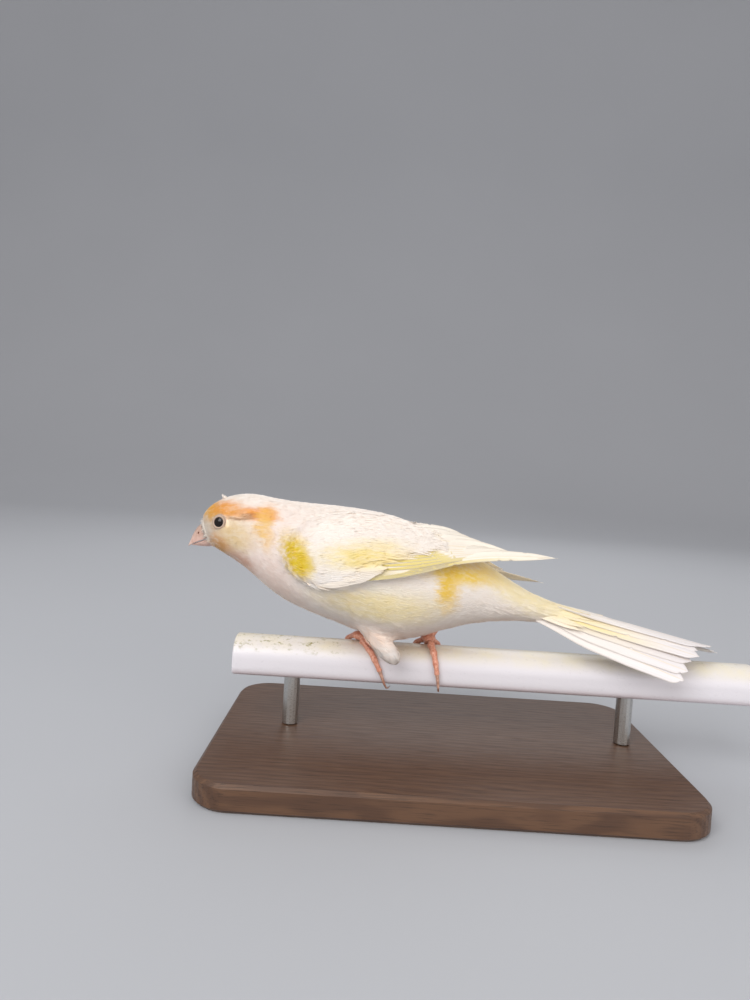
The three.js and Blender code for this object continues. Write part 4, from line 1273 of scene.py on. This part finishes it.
def lie_of_coat(points):
    """The direction in which feathers lie at places on the bird."""
    x = points[:, 0]
    axis = (back_at(x + 1) + belly_at(x + 1) - back_at(x - 1) - belly_at(x - 1)) / 4
    flow = np.stack([np.ones(len(x)), np.zeros(len(x)), np.clip(axis, -0.5, 0.2)], 1)
    from_bill = unit(points - over(BILL["tip"]))
    face = 1 - smooth(x, -58, -44)
    flow = unit(mix(unit(flow), from_bill, face[:, None]))
    for wing in WINGS.values():
        lower, upper = through(wing["lower"]), through(wing["upper"])
        height = points[:, 2] - PERCH_TOP
        span = np.maximum(upper(x) - lower(x), 0.5)
        share = (height - lower(x)) / span
        on = (points[:, 1] * wing["side"] > 0) & (share > -0.1) & (x > WING["front"]) & (x < 5)
        rise = mix(lower(x + 1) - lower(x - 1), upper(x + 1) - upper(x - 1), np.clip(share, 0, 1)) / 2
        own = unit(np.stack([np.ones(len(x)), np.zeros(len(x)), np.clip(rise, -0.7, 0.5)], 1))
        soft = smooth(x, WING["front"], WING["front"] + 6)[:, None]
        flow = np.where(on[:, None], unit(mix(flow, own, soft)), flow)
    for leg in LEGS.values():
        on = thigh_share(points, leg)
        down = unit(over(leg["heel"]) - over(leg["hip"]))
        flow = unit(mix(flow, down, on[:, None]))
    return flow


def along_thigh(points, leg):
    """How far down a thigh places are, and how far from its middle line."""
    hip, heel = over(leg["hip"]), over(leg["heel"])
    line = heel - hip
    share = np.clip((points - hip) @ line / (line @ line), 0, 1.3)
    away = np.linalg.norm(points - (hip + share[:, None] * line), axis=1)
    return share, away


def thigh_share(points, leg):
    """How much a place belongs to a thigh."""
    share, away = along_thigh(points, leg)
    below = 1 - smooth(points[:, 2] - PERCH_TOP - belly_at(points[:, 0]), -0.5, 2.0)
    return np.where((away < 6) & (share > 0.2), below, 0.0)


def follow(tree, start, flow_at, length, steps=4):
    """Lines from the roots along the surface, with their normals."""
    places, normals, sides = [], [], []
    place = start.copy()
    for _ in range(steps):
        found = [tree.find_nearest(Vector(p)) for p in place]
        hit = np.array([f[0] for f in found])
        normal = np.array([f[1] for f in found])
        flow = flow_at(hit)
        flow = unit(flow - normal * np.sum(flow * normal, axis=1, keepdims=True))
        places.append(hit)
        normals.append(normal)
        sides.append(np.cross(normal, flow))
        place = hit + flow * (length / (steps - 1))[:, None]
    return np.stack(places, 1), np.stack(normals, 1), np.stack(sides, 1)


def coat_sizes(points):
    """Length, width and lift of the tufts at places on the bird."""
    x = points[:, 0]
    neck, face, rear = 1 - smooth(x, -48, -34), 1 - smooth(x, -60, -47), smooth(x, 0, 14)
    sizes = []
    for i in (0, 1):
        size = mix(mix(COAT["body"][i], COAT["neck"][i], neck), COAT["face"][i], face)
        sizes.append(mix(size, COAT["rear"][i], rear))
    length, width = sizes
    lift = np.full(len(x), COAT["lift"])
    for leg in LEGS.values():
        on = thigh_share(points, leg)
        length = mix(length, COAT["thigh"][0], on)
        width = mix(width, COAT["thigh"][1], on)
        lift = mix(lift, COAT["thigh_lift"], on)
    return length, width, lift


def build_bristles(roots, normals):
    """Short pale bristles that lean from the face over the bill's base, and a stray tuft on the crown."""
    guide = merged_copy("bill_guide", ["bill_upper", "bill_lower"])
    corners = [tuple(face.vertices) for face in guide.data.polygons]
    bill = BVHTree.FromPolygons([Vector(p) for p in points_of(guide)], corners)
    bpy.data.objects.remove(guide)
    forward, core = bill_forward(), over(BILL["core"])
    random = np.random.default_rng(31)
    forms = [tuft_form(3, random) for _ in range(BRISTLES["forms"])]
    grown = []
    front = roots[:, 0] < BRISTLES["from"]
    for root, normal in zip(roots[front], normals[front]):
        if bill.find_nearest(Vector(root))[3] < BRISTLES["near"]:
            over_bill = forward + random.uniform(0.2, 0.9) * unit(core - root) + 0.15 * normal
            lie = unit(over_bill + random.uniform(-0.25, 0.25, 3))
            grown.append((root - 0.2 * normal, normal, lie, random.uniform(*BRISTLES["lengths"])))
    for _ in range(BRISTLES["crown_count"]):
        lie = unit(np.array((-0.7, -0.2, 0.8)) + random.uniform(-0.5, 0.5, 3))
        root = over(BRISTLES["crown"]) + random.uniform(-0.4, 0.4, 3)
        grown.append((root, np.array((0.0, -1.0, 0.4)), lie, random.uniform(*BRISTLES["crown_lengths"])))
    sheaf = Sheaf()
    for number, (root, normal, lie, length) in enumerate(grown):
        side = unit(np.cross(normal, lie))
        up = unit(np.cross(lie, side))
        form, faces, _ = forms[random.integers(BRISTLES["forms"])]
        s, w, h, _ = form.T
        bend = 0.12 * length * s * s
        points = root + np.outer(s * length, lie)
        points = points + np.outer(w * BRISTLES["half"], side) + np.outer(h * BRISTLES["half"] - bend, up)
        spot = (0.02 + 0.96 * (number % 20) / 20 + 0.0015 * w, 0.02 + 0.04 * (number // 20) + 0.003 * s)
        sheaf.add(points, faces, np.stack([(w + 1) / 2, s], 1), np.stack(spot, 1), 0.3 * random.random())
    return sheaf


def clear_of_face(roots):
    """Which places are clear of the bare skin round the eyes and at the bill's base."""
    clear = np.ones(len(roots), bool)
    for side in (-1, 1):
        middle, _ = eye_place(side)
        clear &= np.linalg.norm(roots - middle, axis=1) > EYE["bare"]
    near_bill = np.linalg.norm(roots - over(BILL["base"]), axis=1) < BILL["bare"]
    return clear & ~((roots[:, 0] < BILL["bare_from"]) & near_bill)


def coat_on_wings(roots, random):
    """Which places may carry a tuft, whose wing each is on, and how far tufts stand over the vanes."""
    keep = np.ones(len(roots), bool)
    on_wing, proud = np.zeros(len(roots)), np.zeros(len(roots))
    x, height = roots[:, 0], roots[:, 2] - PERCH_TOP
    for wing in WINGS.values():
        lower, upper = through(wing["lower"])(x), through(wing["upper"])(x)
        here = (height > lower - 0.3) & (height < upper + 0.2)
        here &= (roots[:, 1] * wing["side"] > 0) & (x > WING["front"] + 1)
        here &= np.abs(roots[:, 1]) > body_half(x, roots[:, 2], 0.2) - 0.2
        on_wing = np.where(here, wing["side"], on_wing)
        share = (height - lower) / np.maximum(upper - lower, 1)
        edge = mix(CAPE["low_end"], CAPE["high_end"], smooth(share, CAPE["low"], CAPE["high"]))
        keep &= ~(here & (x > edge + random.uniform(*CAPE["ragged"], len(roots))))
        over_vanes = (1 - smooth(share, 0.7, 0.95)) * smooth(share, 0.0, 0.2)
        over_vanes *= 1 - 0.6 * smooth(x, edge - 7, edge)
        proud = np.where(here, over_vanes, proud)
    return keep, on_wing, proud


def grow_tufts(sheaf, tufts, own, form, spots, tonal, random):
    """Adds tufts of one form, each bent along the line that was followed from its root."""
    shape, faces, under = form
    s, w, h, bow = shape.T
    at = np.clip(s, 0, 1) * 3
    first = np.minimum(at.astype(int), 2)
    part = (at - first)[None, :, None]

    def along(values):
        return values[own][:, first] * (1 - part) + values[own][:, first + 1] * part

    middle, out, across = along(tufts["places"]), unit(along(tufts["outs"])), unit(along(tufts["sides"]))
    length, width, lift, stand = (tufts[key][own][:, None] for key in ("length", "width", "lift", "stand"))
    rise = lift * np.sin(np.pi * 0.75 * s) - 0.3 * (1 - s) ** 3
    rise = rise + stand * smooth(s, 0, 0.35)
    rise = rise + h * width / 2
    swing = random.uniform(-0.12, 0.12, len(own))[:, None] * s * length
    sag = -(w**2) * (width / 2) ** 2 / 20
    points = middle + across * (w * width / 2 + swing)[..., None]
    points = points + out * (rise + sag)[..., None]
    count, size = len(own), len(shape)
    all_faces = (faces[None] + np.arange(count)[:, None, None] * size).reshape(-1, 3)
    spot = spots[:, None] + COAT["patch"] * np.stack([w / 2, s - 0.5], 1)[None]
    lie = np.tile(np.stack([(w + 1) / 2, s], 1), (count, 1))
    facing = unit(out + across * (0.55 * bow)[:, None])[:, faces]
    facing = np.where(under[:, None, None], -out[:, faces], facing)
    tone = np.repeat(random.random(count) * tonal, size)
    sheaf.add(points, all_faces, lie, spot, tone, normals=facing)


def coat_hull(skin, cores):
    """The skin and the wings' cores as one closed form, from which the coat grows."""
    hull = linked("hull", skin.data.copy())
    select_only(hull, *cores)
    bpy.ops.object.join()
    apply_modifier(hull, "REMESH", mode="VOXEL", voxel_size=COAT["hull_voxel"] * MM)
    apply_modifier(hull, "SMOOTH", factor=0.5, iterations=8)
    return hull


def build_coat(skin, cores):
    """All the small feathers, as a few meshes by part of the body."""
    hull = coat_hull(skin, cores)
    tree = BVHTree.FromPolygons([Vector(p) for p in points_of(hull)], triangles_of(hull).tolist())

    def spacing(places):
        length, width, _ = coat_sizes(places)
        return COAT["closeness"] * np.sqrt(length * width)

    roots, normals = scatter(hull, spacing, 3, COAT["tried"])
    bpy.data.objects.remove(hull)
    made = [("coat_bristles", build_bristles(roots, normals))]
    random = np.random.default_rng(21)
    keep, on_wing, proud = coat_on_wings(roots, random)
    keep &= clear_of_face(roots)
    roots, on_wing, proud = roots[keep], on_wing[keep], proud[keep]
    x = roots[:, 0]
    length, width, lift = coat_sizes(roots)
    length = length * random.uniform(0.85, 1.15, len(roots))
    width = width * random.uniform(0.85, 1.2, len(roots))
    places, outs, sides = follow(tree, roots, lie_of_coat, length)
    tufts = {"places": places, "outs": outs, "sides": sides, "length": length, "width": width, "lift": lift}
    tufts["stand"] = COAT["over_vanes"] * proud * smooth(x, -38, -27)
    thigh = np.maximum(*[thigh_share(roots, leg) for leg in LEGS.values()])
    within = [on_wing < 0, on_wing > 0, thigh > 0.4, *(x < end for _, end in COAT_PARTS)]
    region = np.select(within, list(range(len(within))), len(within))
    names = ["wing_left", "wing_right", "thighs", *(name for name, _ in COAT_PARTS), "rear"]
    forms = {key: [tuft_form(barbs, random) for _ in range(TUFT_FORMS)] for key, barbs in BARBS.items()}
    for number, name in enumerate(names):
        fine = name in FINE_PARTS
        for side, half in (("l", roots[:, 1] < 0), ("r", roots[:, 1] >= 0)):
            ids = np.nonzero((region == number) & half)[0]
            if len(ids) == 0:
                continue
            spin = np.arctan2(roots[ids, 1], roots[ids, 2] - PERCH_TOP - 16)
            spots = np.stack([x[ids], spin], 1)
            low, high = spots.min(0), spots.max(0)
            spots = 0.02 + 0.96 * (spots - low) / np.maximum(high - low, 1e-6)
            sheaf = Sheaf()
            kinds = random.integers(0, TUFT_FORMS, len(ids))
            for kind, form in enumerate(forms["fine" if fine else "coarse"]):
                chosen = kinds == kind
                if chosen.any():
                    grow_tufts(sheaf, tufts, ids[chosen], form, spots[chosen], 1.0 if fine else 0.5, random)
            made.append((f"coat_{name}_{side}", sheaf))
    return made


# Operators


class CanarySettings(bpy.types.PropertyGroup):
    """Sizes and colours that a user would change."""

    camera_lens: bpy.props.FloatProperty(
        name="Lens", description="Focal length of the camera", default=26.0, subtype="DISTANCE_CAMERA"
    )
    light_power: bpy.props.FloatProperty(
        name="Light", description="Power of the main soft light", default=3.7, min=0.0, subtype="POWER"
    )


class CANARY_OT_skin(bpy.types.Operator):
    """Make the skin and the coat of small feathers"""

    bl_idname = "canary.skin"
    bl_label = "Skin and coat"

    def execute(self, context):
        skin = build_skin()
        cores = []
        for name in WINGS:
            points, faces, lie = core_sheet(name)
            sheaf = Sheaf()
            sheaf.add(points, faces, lie, lie, np.zeros(len(points)))
            cores.append(sheaf.make("core_" + name))
        coat = build_coat(skin, cores)
        finish_piece(skin, plumage_material("Skin plumage", 0.0), "plumage", *FLESH)
        feather = plumage_material("Body feather", 0.12)
        for name, sheaf in coat:
            finish_piece(sheaf.make(name), feather, "plumage")
        return {"FINISHED"}


class CANARY_OT_wings(bpy.types.Operator):
    """Make the wings' flight feathers and coverts"""

    bl_idname = "canary.wings"
    bl_label = "Wings"

    def execute(self, context):
        vane = flight_material("Wing vane", (218, 198, 82), 0.66, 0.95, (243, 236, 222))
        for name in WINGS:
            wing = build_wing(name).make("wing_feathers_" + name)
            finish_piece(wing, vane, "flight_feather", "wing_" + name)
        return {"FINISHED"}


class CANARY_OT_tail(bpy.types.Operator):
    """Make the tail's feathers"""

    bl_idname = "canary.tail"
    bl_label = "Tail"

    def execute(self, context):
        vane = flight_material("Tail vane", (250, 228, 132), 0.5, 0.85, (238, 234, 235))
        tail = build_tail().make("tail_feathers")
        finish_piece(tail, vane, "flight_feather", "tail")
        return {"FINISHED"}


class CANARY_OT_eyes(bpy.types.Operator):
    """Make the eyes and the lids round them"""

    bl_idname = "canary.eyes"
    bl_label = "Eyes"

    def execute(self, context):
        eye, lid = eye_material(), lid_material()
        for name, side in (("left", -1), ("right", 1)):
            on_skin, out = (Vector(v) for v in eye_place(side))
            middle = on_skin + out * (EYE["proud"] - EYE["radius"])
            select_only()
            bpy.ops.mesh.primitive_uv_sphere_add(
                segments=48, ring_count=32, radius=EYE["radius"] * EYE["ball"] * MM, location=middle * MM
            )
            ball = added_primitive("eyeball_" + name)
            ball.data.shade_smooth()
            finish_piece(ball, eye, "eye", "eye_" + name)
            rings = []
            for radius, thick, sunk in EYE["lids"]:
                place = middle + out * (math.sqrt(EYE["radius"] ** 2 - radius**2) - sunk)
                bpy.ops.mesh.primitive_torus_add(
                    major_radius=radius * MM,
                    minor_radius=thick * MM,
                    major_segments=56,
                    minor_segments=14,
                    location=place * MM,
                    rotation=out.to_track_quat("Z", "Y").to_euler(),
                )
                rings.append(context.active_object)
            select_only(*rings)
            bpy.ops.object.join()
            lids = added_primitive("lids_" + name)
            lids.data.shade_smooth()
            finish_piece(lids, lid, "leg_skin")
        return {"FINISHED"}


class CANARY_OT_bill(bpy.types.Operator):
    """Make the smooth bill"""

    bl_idname = "canary.bill"
    bl_label = "Bill"

    def execute(self, context):
        horn = bill_material()
        forward = Vector(bill_forward())
        for name, depths in (("bill_upper", ()), ("bill_lower", MANDIBLE_ROOTS)):
            roots = []
            for depth in depths:
                root = linked("bill_root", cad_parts[name].data.copy())
                root.data.transform(Matrix.Translation(-forward * depth * MM))
                roots.append(root)
            piece = smoothed_copy(name + "_horn", [name], *SMOOTHED["bill"], roots)
            finish_piece(piece, horn, "bill", name)
        return {"FINISHED"}


class CANARY_OT_legs(bpy.types.Operator):
    """Make the scaled legs, toes and claws"""

    bl_idname = "canary.legs"
    bl_label = "Legs and feet"

    def execute(self, context):
        skin = horn_material("Leg skin", (212, 138, 112), (236, 182, 156), 0.42, 1.4, 1.5)
        horn = horn_material("Claw horn", (150, 104, 86), (206, 164, 144), 0.34)
        for side in LEGS:
            piece = smoothed_copy("shank_skin_" + side, ["shank_" + side], *SMOOTHED["shank"])
            finish_piece(piece, skin, "leg_skin", "shank_" + side)
            for name in ("hind", "inner", "middle", "outer"):
                toe, claw = f"toe_{name}_{side}", f"claw_{name}_{side}"
                root = knuckle("shank_" + side, toe)
                piece = smoothed_copy(f"toe_skin_{name}_{side}", [toe], *SMOOTHED["toe"], [root])
                finish_piece(piece, skin, "leg_skin", toe)
                root = knuckle(toe, claw)
                piece = smoothed_copy(f"claw_horn_{name}_{side}", [claw], *SMOOTHED["claw"], [root])
                finish_piece(piece, horn, "claw", claw)
        return {"FINISHED"}


class CANARY_OT_stand(bpy.types.Operator):
    """Give the perch and its stand their finish"""

    bl_idname = "canary.stand"
    bl_label = "Perch and stand"

    def execute(self, context):
        plastic, wood, steel = perch_material(), wood_material(), steel_material()
        finish_piece(build_perch().make("perch_moulding"), plastic, "perch_plastic", "perch")
        for node, material in (
            ("stand_base", wood),
            ("stand_rod_left", steel),
            ("stand_rod_right", steel),
        ):
            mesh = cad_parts[node].data
            mesh.materials.clear()
            mesh.materials.append(material)
        return {"FINISHED"}


class CANARY_OT_stage(bpy.types.Operator):
    """Make the floor, the lights and the camera"""

    bl_idname = "canary.stage"
    bl_label = "Stage"

    def execute(self, context):
        select_only()
        bpy.ops.mesh.primitive_plane_add(size=FLOOR["size"], location=(0, FLOOR["middle"], 0))
        floor = added_primitive("floor")
        bpy.ops.object.mode_set(mode="EDIT")
        bpy.ops.mesh.select_mode(type="EDGE")
        bpy.ops.mesh.select_all(action="DESELECT")
        bpy.ops.object.mode_set(mode="OBJECT")
        far = max(v.co.y for v in floor.data.vertices)
        for edge in floor.data.edges:
            edge.select = all(floor.data.vertices[i].co.y > far - 0.01 for i in edge.vertices)
        bpy.ops.object.mode_set(mode="EDIT")
        bpy.ops.mesh.extrude_region_move(TRANSFORM_OT_translate={"value": (0, 0, FLOOR["wall"])})
        bpy.ops.object.mode_set(mode="OBJECT")
        apply_modifier(floor, "BEVEL", width=FLOOR["bend"], segments=24, limit_method="ANGLE")
        floor.data.shade_smooth()
        floor.data.materials.append(floor_material())
        world = bpy.data.worlds.new("Studio")
        world.use_nodes = True
        sky = world.node_tree.nodes["Background"].inputs
        sky["Color"].default_value = SKY
        sky["Strength"].default_value = 1.0
        context.scene.world = world
        context.scene.view_settings.view_transform = "Standard"
        for name, place, size, share, tint in LIGHTS:
            lamp = bpy.data.lights.new(name, "AREA")
            lamp.size = size
            lamp.energy = settings().light_power * share
            lamp.color = tint
            holder = bpy.data.objects.new(name, lamp)
            holder.location = place
            aim = Vector(LIGHTS_AIM) - Vector(place)
            holder.rotation_euler = aim.to_track_quat("-Z", "Y").to_euler()
            context.scene.collection.objects.link(holder)
        data = bpy.data.cameras.new("Camera")
        data.lens = settings().camera_lens
        data.sensor_width = 36
        camera = bpy.data.objects.new("Camera", data)
        pitch, roll = math.radians(CAMERA["pitch"]), math.radians(CAMERA["roll"])
        right = (math.cos(roll), math.sin(roll) * math.sin(pitch), math.sin(roll) * math.cos(pitch))
        up = (-math.sin(roll), math.cos(roll) * math.sin(pitch), math.cos(roll) * math.cos(pitch))
        back = (0, -math.cos(pitch), math.sin(pitch))
        turn = Matrix((right, up, back)).transposed().to_4x4()
        camera.matrix_world = Matrix.Translation(Vector(CAMERA["place"]) * MM) @ turn
        data.clip_start = 0.005
        context.scene.collection.objects.link(camera)
        context.scene.camera = camera
        return {"FINISHED"}


class CANARY_PT_panel(bpy.types.Panel):
    """Lists the steps of the model"""

    bl_label = "Canary"
    bl_idname = "CANARY_PT_panel"
    bl_space_type = "VIEW_3D"
    bl_region_type = "UI"
    bl_category = "Canary"

    def draw(self, context):
        layout = self.layout
        for step in STEPS:
            layout.operator(step.bl_idname)
        for key in CanarySettings.__annotations__:
            layout.prop(context.scene.canary, key)


STEPS = (
    CANARY_OT_stage,
    CANARY_OT_skin,
    CANARY_OT_wings,
    CANARY_OT_tail,
    CANARY_OT_eyes,
    CANARY_OT_bill,
    CANARY_OT_legs,
    CANARY_OT_stand,
)
CLASSES = (CanarySettings, *STEPS, CANARY_PT_panel)


def register():
    for made in CLASSES:
        bpy.utils.register_class(made)
    bpy.types.Scene.canary = bpy.props.PointerProperty(type=CanarySettings)


def unregister():
    del bpy.types.Scene.canary
    for made in reversed(CLASSES):
        bpy.utils.unregister_class(made)


def main():
    """Runs every step as an operator."""
    register()
    for step in STEPS:
        area, name = step.bl_idname.split(".")
        getattr(getattr(bpy.ops, area), name)()


if __name__ == "__main__":
    main()
